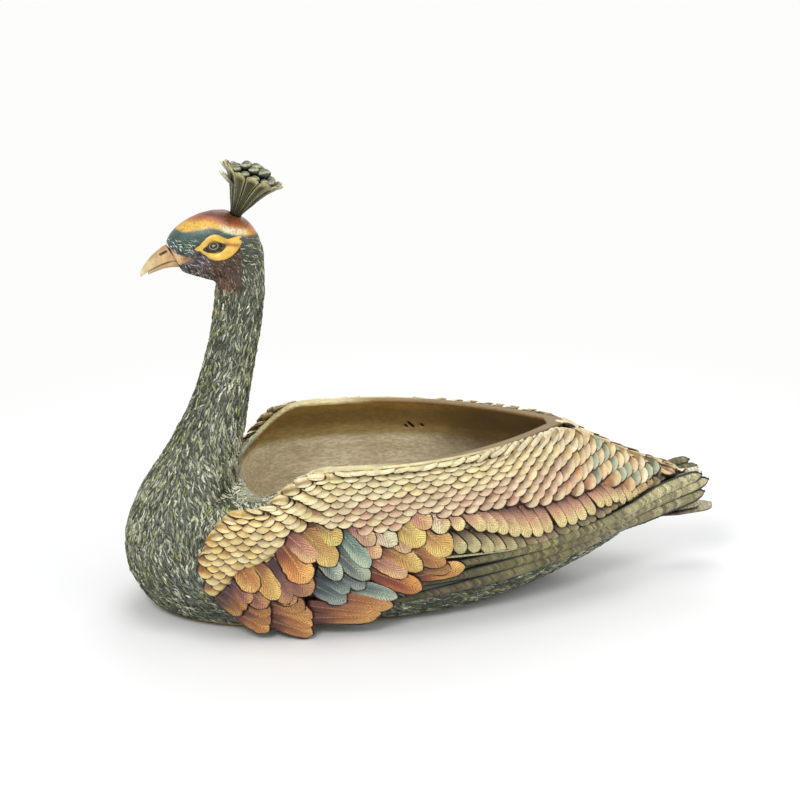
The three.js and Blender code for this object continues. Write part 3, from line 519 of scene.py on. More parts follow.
# How far below a ceiling the edge's wash and painted shade have faded and a feather is pressed in
CEILING_FADE = (1.6, 0.4)
CEILING_GAP, CEILING_PRESS = 1.0, 1.4

# Colours of the dark wash and painted shade along the edges of feathers
DARK_EDGE = srgb("3a2012")
DARK_GREEN_EDGE = srgb("20221a")

# Paint of a feather at its root, middle and tip
PALETTES = {
    "rose": ("8a5148", "cb937a", "ecc38c"),
    "gold": ("8a5535", "d9a358", "f0cf78"),
    "yellow": ("9a6a3f", "e0b765", "f2d878"),
    "copper": ("5f3226", "ad6e42", "d9a35c"),
    "maroon": ("4b2a30", "875550", "cb9460"),
    "orange": ("7d3f28", "cf8645", "efbb6a"),
    "brown": ("4a2a2c", "8b5638", "bd8647"),
    "pale_teal": ("3a4f4e", "839a88", "cbd8b4"),
    "teal": ("2c3c40", "60746f", "b6c3ac"),
    "slate": ("222e34", "40525a", "93a298"),
    "cream": ("a87666", "e6c9a4", "f6ebbe"),
    "red_heart": ("6e3322", "8e3f2c", "dd9b50"),
}


def feather_profile(form):
    """Places of the stations along a feather, and its half width at each as a share of the full one."""
    widest = form["widest"]
    body = np.linspace(0, widest, form["along"], endpoint=False)
    swing = np.sin(np.linspace(0, math.pi / 2, form["tip"]))
    along = np.concatenate([body, widest + (1 - widest) * swing])
    half = form["narrow"] + (1 - form["narrow"]) * smoothstep(along, 0, min(widest * 0.8, 0.5))
    past = np.clip((along - widest) / (1 - widest), 0, 1)
    return along, half * np.maximum(1 - past ** form["blunt"], 0.0016) ** (1 / form["blunt"])


def lay_feather(plumage, sheet, side, line, width, lifts, form, paint, rng, edge=DARK_EDGE, ceiling=None):
    """A feather over a sheet. The line holds (x, z) points from its root to its tip, the lifts are how far
    its root and its tip stand off the sheet, and the paint is called with the places along and across it.
    Under a ceiling the feather is pressed in below that line, and the wash and painted shade of its outline
    fade there."""
    line = np.array(line, float)
    along, half = feather_profile(form)
    stretch = np.concatenate([[0], np.cumsum(np.linalg.norm(np.diff(line, axis=0), axis=1))])
    length = stretch[-1]
    centre = np.stack([np.interp(along * length, stretch, line[:, i]) for i in (0, 1)], -1)
    centre = eased(centre) if len(line) > 2 else centre
    run = np.gradient(centre, axis=0)
    run /= np.linalg.norm(run, axis=1, keepdims=True) + 1e-9
    beside = np.stack([run[:, 1], -run[:, 0]], -1)
    across = np.array(form["columns"], float)
    rag = 1 + form["ragged"] * rng.uniform(-1, 1, (len(along), 2))
    reach = half[:, None] * width / 2 * np.where(across[None] < 0, rag[:, :1], rag[:, 1:])
    spread = reach * across[None]
    flat = centre[:, None] + beside[:, None] * spread[..., None]
    lift = lifts[0] + (lifts[1] - lifts[0]) * along[:, None]
    lift = lift + form["crown"] * half[:, None] * (1 - across[None] ** 2)
    lift = lift + form["quill"] * (np.abs(across[None]) < 0.05) * (along[:, None] < 0.93)
    colour = paint(np.broadcast_to(along[:, None], lift.shape), np.broadcast_to(across[None], lift.shape))
    measure = np.stack([spread, np.broadcast_to(along[:, None] * length, spread.shape)], -1)
    own = colour
    # The two outer rings take the edge colour, a dark wash and painted shade in the crevice beside the edge;
    # the third closes the underside
    for flare, fall, darkened in (
        (EDGE_WASH_AND_SHADE["flare"], EDGE_WASH_AND_SHADE["fall"], True),
        (form["flare"], form["edge"], True),
        (-form["flare"], EDGE_THICKNESS, False),
    ):
        flat = np.pad(flat, ((1, 1), (1, 1), (0, 0)), mode="edge")
        along = np.pad(along, 1, mode="edge")
        beside, run = (np.pad(way, ((1, 1), (0, 0)), mode="edge") for way in (beside, run))
        flat[1:-1, 0] -= beside[1:-1] * flare
        flat[1:-1, -1] += beside[1:-1] * flare
        flat[-1] += run[-1] * flare
        rim = np.ones(flat.shape[:2], bool)
        rim[1:-1, 1:-1] = False
        lift = np.pad(lift, 1, mode="edge") - fall * rim
        own = np.pad(own, ((1, 1), (1, 1), (0, 0)), mode="edge")
        wash_and_shade = smoothstep(along, EDGE_WASH_AND_SHADE["from"], EDGE_WASH_AND_SHADE["to"])[:, None] * darkened
        if ceiling is not None:
            top = line_at(ceiling, flat[..., 0])
            wash_and_shade = wash_and_shade * (1 - smoothstep(flat[..., 1], top - CEILING_FADE[0], top - CEILING_FADE[1]))
        colour = np.where(rim[..., None], mix(own, edge, wash_and_shade), np.pad(colour, ((1, 1), (1, 1), (0, 0))))
        measure = np.pad(measure, ((1, 1), (1, 1), (0, 0)), mode="edge")
    if ceiling is not None:
        over = flat[..., 1] - line_at(ceiling, flat[..., 0]) + CEILING_GAP
        flat[..., 1] -= np.where(over > 0, over - CEILING_PRESS * np.tanh(over / CEILING_PRESS), 0)
    points = sheet.points(flat[..., 0], flat[..., 1], lift, side)
    plumage.add(points, colour, measure, side > 0)


def eased(line):
    """The line with its corners rounded."""
    for _ in range(3):
        line = np.concatenate([line[:1], (line[:-2] + 2 * line[1:-1] + line[2:]) / 4, line[-1:]])
    return line


def palette_paint(name, rng):
    """Paint that runs through a palette's colours, with a pale edge, a pale quill and a stain beside it."""
    root, middle, tip = (srgb(c) for c in PALETTES[name])
    value = 1 + rng.uniform(-0.1, 0.1)
    warmth = 1 + np.array([1, 0, -1]) * rng.uniform(-0.06, 0.06)
    start = rng.uniform(0.1, 0.3)
    lit_side = rng.choice((-1, 1))

    def paint(along, across):
        first = mix(root, middle, smoothstep(along, start, start + 0.35))
        colour = mix(first, tip, smoothstep(along + 0.3 * across * lit_side, 0.5, 1.05))
        edge = smoothstep(np.abs(across), 0.62, 0.95) * smoothstep(along, 0.35, 0.6)
        colour = mix(colour, tip, 0.6 * edge)
        heart = np.exp(-((across / 0.5) ** 2)) * smoothstep(along, 0.1, 0.3)
        heart = heart * (1 - smoothstep(along, 0.5, 0.85))
        colour = mix(colour, root, 0.4 * heart)
        quill = (np.abs(across) < 0.05) * (1 - smoothstep(along, 0.75, 0.95))
        colour = mix(colour, tip, 0.55 * quill)
        return colour * value * warmth

    return paint


# The fan below the shoulder: root (x, z), tip (x, z), width and palette of each feather
FAN_FEATHERS = [
    (-150, 30, -134, 19, 9, "brown"),
    (-147, 36, -131, 23, 9, "brown"),
    (-141, 42, -128, 28, 10, "maroon"),
    (-135, 44, -118, 25, 14, "maroon"),
    (-137, 31, -116, 19, 12, "brown"),
    (-139, 25, -116, 13, 11, "brown"),
    (-140, 20, -117, 7.5, 11, "copper"),
    (-120, 34, -94, 23, 13, "brown"),
    (-121, 28, -89, 16.5, 12, "copper"),
    (-121, 22, -89, 11, 11, "copper"),
    (-121, 15, -89, 4.5, 11, "copper"),
    (-122, 42, -99, 29, 14, "maroon"),
    (-139, 60, -125, 36, 14, "orange"),
    (-129, 58, -111, 31, 14, "gold"),
    (-119, 55, -104, 28, 13, "maroon"),
    (-113, 60, -90, 34, 17, "maroon"),
    (-110, 72, -92, 43, 18, "orange"),
    (-107, 78, -87, 58, 13, "rose"),
    (-99, 83, -74, 55, 16, "gold"),
    (-88, 85, -71, 69, 13, "yellow"),
    (-84, 32, -36, 21, 12, "copper"),
    (-92, 24, -44, 16, 11, "copper"),
    (-92, 15, -46, 14, 10, "copper"),
    (-96, 44, -67, 27, 13, "slate"),
    (-78, 41, -33, 27, 10, "teal"),
    (-86, 50, -65, 34, 11, "slate"),
    (-77, 54, -55, 36, 11, "slate"),
    (-89, 70, -71, 44, 12, "teal"),
    (-84, 72, -52, 43, 13, "teal"),
    (-74, 81, -52, 52, 11, "pale_teal"),
    (-59, 51, -17, 31, 14, "red_heart"),
    (-25, 39, 13, 43, 12, "orange"),
    (-26, 47, 3, 43, 10, "brown"),
    (-57, 61, -27, 42, 12, "rose"),
    (-39, 67, -1, 48, 13, "copper"),
    (-51, 70, -17, 46, 13, "gold"),
    (-23, 79, 2, 55, 17, "gold"),
    (-65, 77, -45, 58, 11, "rose"),
    (-69, 86, -49, 67, 11, "rose"),
    (-62, 84, -34, 66, 12, "cream"),
    (-44, 75, -25, 60, 10, "rose"),
    (-18, 90, -1, 70, 12, "cream"),
    (-43, 86, -16, 64, 16, "yellow"),
    (-32, 94, -12, 74, 12, "rose"),
]

# Where the scales start and end, and how they lie
WING_FRONT = [(-160, 58), (-157, 69), (-151, 78), (-142, 86.5), (-135, 90.2), (-126, 91), (-117, 93),
              (-109, 101.5), (-102, 109.5), (-91, 115.4)]
WING_BACK = [(-75, 116.5), (87, 116.5), (103, 111.5), (123, 101.5), (141, 92.5), (163, 83.5), (184, 75)]
WING_TOP = WING_FRONT + WING_BACK
SCALES_END = [(-161, 56), (-157, 40), (-152, 31), (-145, 26.5), (-143, 27), (-137, 36), (-134, 52),
              (-123, 54), (-112, 53), (-107, 75), (-90, 78), (-73, 79), (-49, 74), (-34, 75), (-20, 82),
              (-5, 79), (15, 81), (40, 77), (58, 77), (76, 75), (97, 78), (124, 78), (138, 73), (152, 67),
              (170, 68), (182, 69)]
SCALE_SPACING = [(-160, 7.6), (-110, 9.2), (20, 9.9), (90, 10.5), (140, 12), (182, 14)]
SCALE_LEAN = [(-160, 0), (-100, 0), (-60, 2), (10, 5), (45, 14), (80, 34), (110, 50), (140, 62), (182, 68)]
LEAN_GROWTH = 0.35 # degrees that the lean grows for each millimetre below the rim
FIRST_PITCH = 4
PITCH_GROWTH = 0.04
ROWS = 26
TAIL_STRETCH = 0.2 # how much longer the scales are on the tail
SCALES_FROM_X, SCALES_TO_X = -164, 178


def top_line(x):
    """Height of the rim and of the tail's edge behind it at x."""
    return np.minimum(line_at(WING_BACK, x), rim_line(x))


def row_slope(x):
    """How steeply the rows of scales climb at x, as an angle."""
    return math.atan2(float(top_line(x + 3) - top_line(x - 3)), 6)


def scale_tint(x, depth, rng):
    """Colour of one scale from its place along the flank and its depth below the rim."""
    cream, butter, gold = srgb("efe5c0"), srgb("e8d38a"), srgb("dfb64e")
    blush, rose, peach = srgb("e0c3a2"), srgb("c98f78"), srgb("e3ac6c")
    colour = mix(cream, butter, float(rng.uniform(0.0, 0.6)) + 0.25 * float(smoothstep(depth, 3, 22)))
    colour = mix(colour, gold, float(smoothstep(-x, 75, 150)) * rng.uniform(0.2, 0.85))
    low = float(smoothstep(depth, 16, 32)) * float(smoothstep(x, -110, -50))
    colour = mix(colour, blush, low * rng.uniform(0.2, 1.0))
    colour = mix(colour, rose, low * max(rng.uniform(-0.7, 0.8), 0))
    back = float(smoothstep(x, 0, 110))
    colour = mix(colour, blush, back * rng.uniform(0.0, 0.5))
    warm = float(smoothstep(x, 60, 115)) * float(smoothstep(depth, 8, 24))
    colour = mix(colour, peach, warm * max(rng.uniform(-0.4, 1.0), 0))
    if x > 112 and rng.uniform() < 0.3:
        colour = mix(colour, srgb("8d9f8c"), 0.85)
    elif x > 110:
        colour = mix(colour, peach, rng.uniform(0, 0.4))
    return colour * rng.uniform(0.88, 1.04)


def scale_paint(tint, low, root_gap, tip_gap):
    """Paint of a scale: painted shade at its root, where the scale above overlaps it, and a painted highlight
    near its tip.
    The gaps are how far its root and its tip lie below the rim, beside which it isn't shaded."""
    shade = mix(tint * np.array([0.42, 0.3, 0.14]), tint * np.array([0.36, 0.22, 0.16]), low)
    # glow is a painted highlight on the raised tip
    glow = mix(tint, srgb("fff3c8"), 0.3)

    def paint(along, across):
        at_rim = 1 - smoothstep(root_gap + (tip_gap - root_gap) * along, 2.2, 5)
        colour = mix(shade, tint, np.maximum(at_rim, smoothstep(along - 0.1 * np.abs(across), 0.52, 0.82)))
        return mix(colour, glow, smoothstep(along + 0.1 * np.abs(across), 0.78, 0.95))

    return paint


def lay_scales(plumage, sheet, side, rng):
    """Rows of small overlapping feathers from the rim down to the fan."""
    offset = 0.0
    for row in range(ROWS):
        pitch = FIRST_PITCH + PITCH_GROWTH * row
        offset += pitch
        x = SCALES_FROM_X + (0.5 * line_at(SCALE_SPACING, SCALES_FROM_X) if row % 2 else 0)
        while x < SCALES_TO_X:
            spacing = line_at(SCALE_SPACING, x)
            place, below = x + rng.normal(0, 0.3), offset + rng.normal(0, 0.2)
            lay_scale(plumage, sheet, side, place, below, pitch, spacing, rng)
            x += spacing * math.cos(row_slope(x))


def lay_scale(plumage, sheet, side, x, offset, pitch, spacing, rng):
    """One scale, whose tip is at x and at an offset below the rim. Nothing is laid outside the wing."""
    slope = row_slope(x)
    turned = LEAN_GROWTH * max(offset - 12, 0) * float(smoothstep(x, -125, -60))
    turned = turned * (1 - float(smoothstep(x, 20, 90)))
    lean = math.radians(line_at(SCALE_LEAN, x) + turned + rng.normal(0, 5)) + 0.25 * max(slope, 0)
    tilt = math.sin(lean) ** 2
    stretch = 1 + TAIL_STRETCH * float(smoothstep(x, 10, 120))
    pitch = pitch * stretch
    length = (2 * pitch * (1 - tilt) + spacing * 1.3 * tilt + 3) * rng.uniform(0.95, 1.08)
    width = (1.12 * spacing * (1 - tilt) + 1.5 * pitch * tilt) * rng.uniform(1.0, 1.12)
    tip = np.array([x, sheet.down(x, top_line(x), offset * stretch / math.cos(slope))])
    top = line_at(WING_TOP, tip[0])
    if not line_at(SCALES_END, tip[0]) < tip[1] < top - 1.0 or tip[0] < -161:
        return
    aside = length * tilt + min(length, offset) * (1 - tilt)
    root_x = x - aside * math.sin(lean)
    ceiling = line_at(WING_TOP, root_x) - 1.2
    root = np.array([root_x, min(sheet.down(root_x, tip[1], -length * math.cos(lean)), ceiling)])
    if np.hypot(*(tip - root)) < 2.4:
        return
    low = float(smoothstep(offset, 12, 30))
    paint = scale_paint(scale_tint(x, offset, rng), low, ceiling + 1.2 - root[1], top - tip[1])
    at_rim = (1 - float(smoothstep(offset, 4, 9))) * (1 - float(smoothstep(x, 70, 88)))
    lifts = (-1.2 + 2.6 * at_rim, 2.0 + 0.4 * at_rim - 0.5 * (side > 0))
    lay_feather(plumage, sheet, side, [root, tip], width, lifts, SCALE, paint, rng, ceiling=WING_TOP)


# Where the feathers along the top of the tail start and end, how far apart they are and how they spread
RIDGE_FROM_X, RIDGE_TO_X = 89, 164
RIDGE_STEP = 6.5
RIDGE_ROWS = (-2.8, 2.8, 0)
RIDGE_WIDTH = 6.6


def lay_ridge(plumage, ridge, rng):
    """Slender feathers that close the top of the tail between the wings. The front ones lie over the rest."""
    x, row = RIDGE_FROM_X, 0
    while x < RIDGE_TO_X:
        y = RIDGE_ROWS[row % len(RIDGE_ROWS)] * (1 + 0.25 * float(smoothstep(x, 120, 165)))
        long = 15 + 8 * float(smoothstep(x, 100, 160))
        paint = scale_paint(scale_tint(x, rng.uniform(2, 16), rng), 0.3, 1.6, 3)
        line = [(x, y), (x + long, y * 1.15)]
        width = RIDGE_WIDTH * rng.uniform(0.95, 1.1)
        lay_feather(plumage, ridge, -1, line, width, (-0.6, 1.5), SCALE, paint, rng)
        x += RIDGE_STEP / (2 if row % len(RIDGE_ROWS) else 1.5)
        row += 1


# The two rows of long coverts between the scales and the tail feathers: lines through their roots and tips,
# and how far back a tip lies from its root
COVERT_ROWS = [
    {"from": -2, "to": 142, "roots": [(2, 70), (14, 69), (32, 66), (52, 61), (83, 61), (105, 65), (142, 70)],
     "tips": [(18, 55), (27, 53), (45, 48), (62, 43), (76, 44.8), (93, 48), (108, 51.5), (121, 55),
              (140, 61)],
     "reach": [(2, 16), (12, 15), (40, 12), (83, 10), (125, 8)], "lifts": (-2.4, 1.2),
     "colours": ("4d3b2c", "938660", "dbd196")},
    {"from": -12, "to": 158, "roots": [(-7, 84), (3, 86), (11, 86), (30, 83), (54, 81), (85, 80), (128, 82),
                                      (147, 76), (166, 72)],
     "tips": [(4, 71), (19, 69), (31, 67), (47, 61), (64, 57), (81, 58), (98, 61), (110, 63.7), (120, 66.5),
              (140, 65), (158, 67)],
     "reach": [(-7, 13), (3, 16), (11, 19), (34, 14), (62, 12), (108, 11), (125, 10), (147, 8)],
     "lifts": (-1.4, 1.6), "colours": ("6b3d34", "c59279", "f2dc98")},
]
COVERT_PITCH = [(-12, 9.6), (30, 9.2), (64, 8.5), (90, 7.8), (105, 6.2), (120, 5.6), (150, 5.6)]


def covert_paint(colours, rng):
    """Paint of a covert from its root to its tip, with a blush of its own in the middle."""
    root, middle, tip = (srgb(c) for c in colours)
    value, blush = rng.uniform(0.86, 1.06), rng.uniform(0, 0.8)

    def paint(along, across):
        first = mix(root, middle, smoothstep(along + 0.15 * across, 0.15, 0.5))
        tinted = mix(middle, srgb("e2a876"), blush)
        first = mix(first, tinted, smoothstep(along, 0.3, 0.6) * 0.6)
        return mix(first, tip, smoothstep(along + 0.12 * np.abs(across), 0.5, 0.95)) * value

    return paint


def lay_coverts(plumage, sheet, side, rng):
    """Two rows of long feathers below the scales."""
    for row in COVERT_ROWS:
        x = row["from"]
        while x < row["to"]:
            pitch = line_at(COVERT_PITCH, x)
            tip_x = x + line_at(row["reach"], x) * (1 + 0.1 * rng.uniform(-1, 1))
            root = (x, line_at(row["roots"], x))
            tip = (tip_x, line_at(row["tips"], tip_x) + rng.normal(0, 0.7))
            bend = ((root[0] + tip[0]) / 2 + 0.8, (root[1] + tip[1]) / 2 + 1.1)
            paint = covert_paint(row["colours"], rng)
            width = (0.2 + 0.86 * pitch) * rng.uniform(0.94, 1.06)
            lay_feather(plumage, sheet, side, [root, bend, tip], width, row["lifts"], COVERT, paint, rng)
            x += pitch * rng.uniform(0.94, 1.06)


def lay_fan(plumage, sheet, side, rng):
    """The broad feathers below the shoulder. Those rooted higher up and farther forward lie on the others."""
    for root_x, root_z, tip_x, tip_z, width, palette in FAN_FEATHERS:
        across = np.array([tip_z - root_z, root_x - tip_x], float)
        across /= np.linalg.norm(across)
        middle = np.array([(root_x + tip_x) / 2, (root_z + tip_z) / 2]) - across * rng.uniform(0.4, 1.4)
        stand = 0.3 + 0.06 * (root_z - 15) - 0.006 * (root_x + 150)
        lifts = (stand - 0.6, stand + 2.5)
        line = [(root_x, root_z), tuple(middle), (tip_x, tip_z)]
        lay_feather(plumage, sheet, side, line, width, lifts, FAN, palette_paint(palette, rng), rng)


# The long feathers along the tail, from the root to the tip, with width, stand-off and colours
TAIL_FEATHERS = [
    {"line": [(-70, 16), (-28, 21), (25, 27), (85, 33), (112, 36.5), (133, 40.5), (154, 46), (172, 53),
              (195, 61)],
     "width": 8.6, "lifts": (0.0, 0.5), "colours": ("47432a", "787048", "a89f76")},
    {"line": [(-50, 30), (-6, 33.5), (40, 37), (70, 39.6), (96, 42.5), (117, 45), (139, 49.5), (161, 56.5),
              (176, 63), (197, 70.5)],
     "width": 8.2, "lifts": (0.2, 1.9), "colours": ("524c2e", "7e774a", "b3aa80")},
    {"line": [(-30, 43), (14, 44.5), (52, 46.5), (83, 48), (100, 49.5), (121, 52.2), (142, 57), (157, 62),
              (171, 67.6), (191.5, 75)],
     "width": 8.2, "lifts": (0.6, 3.2), "colours": ("585233", "8c8556", "c4bb8e")},
]
# The thin pale quill that shows along the top of the upper feather
TAIL_QUILL = {"line": [(-8, 52), (20, 51), (40, 50), (54, 49.4)], "width": 1.6, "lifts": (3.4, 2.8),
              "colour": "cfc79a"}


def plain_paint(colour):
    return lambda along, across: np.broadcast_to(srgb(colour), (*along.shape, 3))


def blade_paint(colours, rng):
    """Barred paint, dark green at the root and paler at the tip."""
    root, middle, tip = (srgb(c) for c in colours)
    bars = rng.uniform(0.4, 1.5, 400)

    def paint(along, across):
        colour = mix(mix(root, middle, smoothstep(along, 0.1, 0.5)), tip, smoothstep(along, 0.55, 1.0))
        bar = bars[(along * 150 + np.abs(across) * 1.4).astype(int)]
        return colour * bar[..., None] * (1.1 - 0.5 * smoothstep(np.abs(across), 0.7, 1.0))[..., None]

    return paint


def lay_tail(plumage, sheet, side, rng):
    """The long feathers along one side of the tail, and the pale quill above them."""
    for feather in TAIL_FEATHERS:
        paint = blade_paint(feather["colours"], rng)
        line, width, lifts = feather["line"], feather["width"], feather["lifts"]
        lay_feather(plumage, sheet, side, line, width, lifts, BLADE, paint, rng, DARK_GREEN_EDGE)
    line, width, lifts = TAIL_QUILL["line"], TAIL_QUILL["width"], TAIL_QUILL["lifts"]
    paint = plain_paint(TAIL_QUILL["colour"])
    lay_feather(plumage, sheet, side, line, width, lifts, QUILL, paint, rng, DARK_GREEN_EDGE)


def flank(side_name):
    """All the feathers of one side of the figure."""
    side = SIDES[side_name]
    rng = np.random.default_rng(SEEDS[side_name])
    groups = {"wing_scales": (lay_scales, wing_sheet), "wing_coverts": (lay_coverts, wing_sheet),
              "fan_feathers": (lay_fan, hull_sheet), "tail_feathers": (lay_tail, tail_sheet)}
    made = {}
    for name, (lay, sheet) in groups.items():
        plumage = Plumage()
        lay(plumage, sheet, side, rng)
        if name == "wing_scales" and side < 0:
            lay_ridge(plumage, ridge, rng)
        made[name] = plumage.build(f"{name}_{side_name}", PAINTS[name])
    wing_skin(side_name)
    fan_nodes = [f"fan_feather_{side_name}_{i}" for i in range(1, 12)]
    tail_nodes = [f"tail_feather_{part}_{side_name}" for part in ("upper", "middle", "lower")]
    dress(made["wing_scales"], "wing_paint")
    dress(made["wing_coverts"], "wing_paint")
    dress(made["fan_feathers"], "fan_paint", *fan_nodes)
    dress(made["tail_feathers"], "tail_paint", *tail_nodes)


# Depths of the outer and the inner face of the shell under the scales, and its colour: a dark brown that
# shows in the gaps between the scales as wash and painted shade
WING_SKIN_DEPTHS = (0.6, 2.6)
WING_SKIN_COLOUR = srgb("5a3a22")


def wing_skin(side_name):
    """The shell under the scales, from just below the lip down to the roots of the fan and the coverts."""
    side = SIDES[side_name]
    xs = np.arange(-159, 178, 2.0)
    shares = np.linspace(0, 1, 16)
    low, high = line_at(SCALES_END, xs) + 3, np.minimum(line_at(WING_TOP, xs), rim_line(xs)) - 1.5
    high = np.maximum(high, low + 0.5)
    z = low[:, None] + (high - low)[:, None] * shares[None]
    x = np.broadcast_to(xs[:, None], z.shape)
    outer, inner = (wing_sheet.points(x, z, np.full(z.shape, -depth), side) for depth in WING_SKIN_DEPTHS)
    mesh = slab(f"wing_skin_{side_name}", outer, inner, side < 0, WING_SKIN_COLOUR)
    dress(new_object(mesh.name, mesh, PAINTS["wing_scales"]), "wing_paint", f"wing_{side_name}")


def slab(name, outer, inner, turn, colour):
    """A closed shell between two grids of points."""
    rows, columns = outer.shape[:2]
    index = np.arange(rows * columns).reshape(rows, columns)
    quads = grid_faces(index)
    ring = np.array([*index[0, :], *index[1:, -1], *index[-1, -2::-1], *index[-2:0:-1, 0]])
    after = np.roll(ring, -1)
    shift = rows * columns
    sides = np.stack([ring, ring + shift, after + shift, after], -1)
    faces = np.concatenate([quads, quads[:, ::-1] + shift, sides])
    if turn:
        faces = faces[:, ::-1]
    points = np.concatenate([outer.reshape(-1, 3), inner.reshape(-1, 3)])
    return new_mesh(name, points, faces.tolist(), np.broadcast_to(colour, points.shape))


# Breast, neck and bowl

SKIN_INSET = 0.6
UNDER_WING_INSET = 3.0 # how much deeper the skin lies under the scales of the shoulder
# Small carved feathers of the breast and the neck: colour and how common each is
STROKE_PAINTS = {
    "dark": ("40452c", 0.25),
    "moss": ("7b8055", 0.27),
    "grey": ("8a8f7c", 0.17),
    "pale": ("c4c69c", 0.15),
    "ivory": ("efecd0", 0.08),
    "lime": ("b3ae5c", 0.08),
}
# Lower edge of the fan, below which the hull shows again
FAN_FOOT = [(-150, 30), (-142, 16), (-128, 6), (-108, 3), (-86, 3), (-60, 8), (-40, 12), (-20, 26), (2, 36),
            (12, 42)]


def bowl_side(points, normals):
    """Marks the points of the casting that face into the bowl."""
    x, y, z = points.T / MM
    from_middle = np.stack([x - np.clip(x, -88, 20), y], -1)
    outward = (from_middle * normals[:, :2]).sum(1)
    within = (x > -127) & (x < 100) & (z > 8) & (z < rim_line(x) + 1.2)
    behind = (x > -95) & (x < 60) & (z > 62) & (np.abs(y) < wing_sheet.read(wing_sheet.out, x, z) - 3)
    return within & ((outward < 0) | (normals[:, 2] > 0.9) | behind)


def bowl_colour(points):
    """Aged brass inside the bowl: golden brown under the rim, darker at the tail end, paler below."""
    x, z = points[:, 0] / MM, points[:, 2] / MM
    rim = rim_line(x)
    colour = mix(srgb("e2d5b0"), srgb("fff3d6"), smoothstep(z, 30, 70))
    colour = mix(colour, srgb("b89f66"), smoothstep(z, RIM_HEIGHT - 32, RIM_HEIGHT - 24))
    colour = mix(colour, srgb("8c7038"), smoothstep(z, RIM_HEIGHT - 24, RIM_HEIGHT - 14))
    colour = mix(colour, srgb("a37d38"), smoothstep(z, rim - 9, rim - 3))
    colour = mix(colour, srgb("5e4519"), 0.85 * smoothstep(x, -5, 50) * smoothstep(z, 55, 90))
    lip = mix(srgb("f3e4aa"), srgb("a8a78c"), smoothstep(-x, 106, 114))
    inward = wing_sheet.read(wing_sheet.out, x, np.full_like(x, RIM_HEIGHT - 5)) - np.abs(points[:, 1] / MM)
    lip = mix(lip, srgb("8a6b34"), smoothstep(inward, 3.2, 4.8) * smoothstep(x, -60, -20))
    return mix(colour, lip, smoothstep(z, rim - 2.6, rim - 1.6))


def in_fan(points):
    """Marks the part of the hull that lies under the fan."""
    x, y, z = points.T / MM
    under = (x > -150) & (x < 10) & (z < line_at(SCALES_END, x)) & (z > line_at(FAN_FOOT, x) + 3)
    return under & (np.abs(y) > 20)


def in_wing(points):
    """Marks the part of the casting that lies under the scales."""
    x, y, z = points.T / MM
    beside = np.abs(y) > np.maximum(wing_sheet.read(wing_sheet.out, x, z) - 7, 3)
    front_gap = 2.2 * (1 - smoothstep(x, -112, -102))
    below_top = z < np.minimum(line_at(WING_TOP, x), rim_line(x) + 9) - 0.8 - front_gap
    return beside & (x > -160) & (x < 180) & (z > line_at(SCALES_END, x)) & below_top


def in_tail(points):
    """Marks the part of the casting that lies under the long feathers of the tail."""
    x, _, z = points.T / MM
    return (x > -25) & (z > line_at(TAIL_FEATHERS[0]["line"], x) - 3.5) & (z < line_at(SCALES_END, x) + 4)


def skin_colour(points, normals):
    """Dark green under the small feathers, greyer towards the sides, darker towards the bottom as painted
    shade, and dark brown under the fan as painted shade for the gaps between its feathers.
    """
    x, y, z = points.T / MM
    side_on = np.abs(normals[:, 1])
    colour = mix(srgb("474d33"), srgb("545a50"), 0.8 * side_on)
    patch = np.sin(x * 0.11 + 1.7 * np.sin(z * 0.07)) * np.sin(z * 0.13 + 1.3 * np.sin(x * 0.09 + y * 0.05))
    colour = colour * (1 + 0.3 * patch)[:, None]
    # Painted shade: darker towards the bottom of the hull
    colour = mix(colour, srgb("23281d"), smoothstep(-z, -45, -5))
    # Painted shade: the hull under the fan is dark brown so that the gaps between fan feathers look deep
    return mix(colour, srgb("35211a"), in_fan(points).astype(float))


def build_body():
    """The casting: a painted skin outside, and the brass of the bowl and rim inside. Returns its surface, and
    marks for the points that small feathers may cover."""
    body = even_copy("body_even", "body_casting", voxel=1.1, rounds=2)
    x, z = body.points[:, 0] / MM, body.points[:, 2] / MM
    on_rim = (z > rim_line(x) - 3.2) & (z < rim_line(x) + 1.5) & (x > -108) & (x < 98)
    inside = bowl_side(body.points, body.normals) | on_rim
    body.relax(np.where(on_rim, 0.1, 0.5), 2)
    shoulder = in_wing(body.points) & ~inside & (x < -114)
    depth = SKIN_INSET + UNDER_WING_INSET * shoulder
    outside_points = body.points - body.normals * depth[:, None] * MM
    faces, used = body.part(grown_once(~inside, body.faces))
    colour = skin_colour(outside_points[used], body.normals[used])
    skin = new_mesh("breast_skin", outside_points[used], faces, colour)
    dress(new_object("breast_skin", skin, PAINTS["skin"]), "breast_paint", "body_casting")
    faces, used = body.part(grown_once(inside, body.faces))
    lining = new_mesh("bowl_lining", body.points[used], faces, bowl_colour(body.points[used]))
    dress(new_object("bowl_lining", lining, PAINTS["brass"]), "bowl_brass")
    y = body.points[:, 1] / MM
    front_lip = (x < -104) & (z > rim_line(x) - 3.5) & (body.normals[:, 2] + 0.03 * np.abs(y) > 0.5)
    return body, ~inside | front_lip


def grown_once(keep, faces):
    """The kept points with those that share a face with them."""
    grown = keep.copy()
    for face in faces:
        if keep[face].any():
            grown[face] = True
    return grown


def flow_at(point, normal):
    """The way the small feathers lie at a point: down the neck and the breast, then back along the hull."""
    x, y, z = point / MM
    neck, breast, belly = np.array([-0.27, 0, -1.0]), np.array([0.3, 0, -1.0]), np.array([1.0, 0, -0.25])
    flow = breast + (neck - breast) * smoothstep(z, 105, 140)
    flow = flow + (belly - flow) * smoothstep(-z, -48, -20)
    foot = smoothstep(x, -132, -118) * smoothstep(z, 84, 98) * (1 - smoothstep(z, 120, 134))
    flow = flow + (np.array([1.0, 0.5 * np.sign(y), -0.6]) - flow) * foot
    flow = flow - normal * (flow @ normal)
    return flow / (np.linalg.norm(flow) + 1e-9)


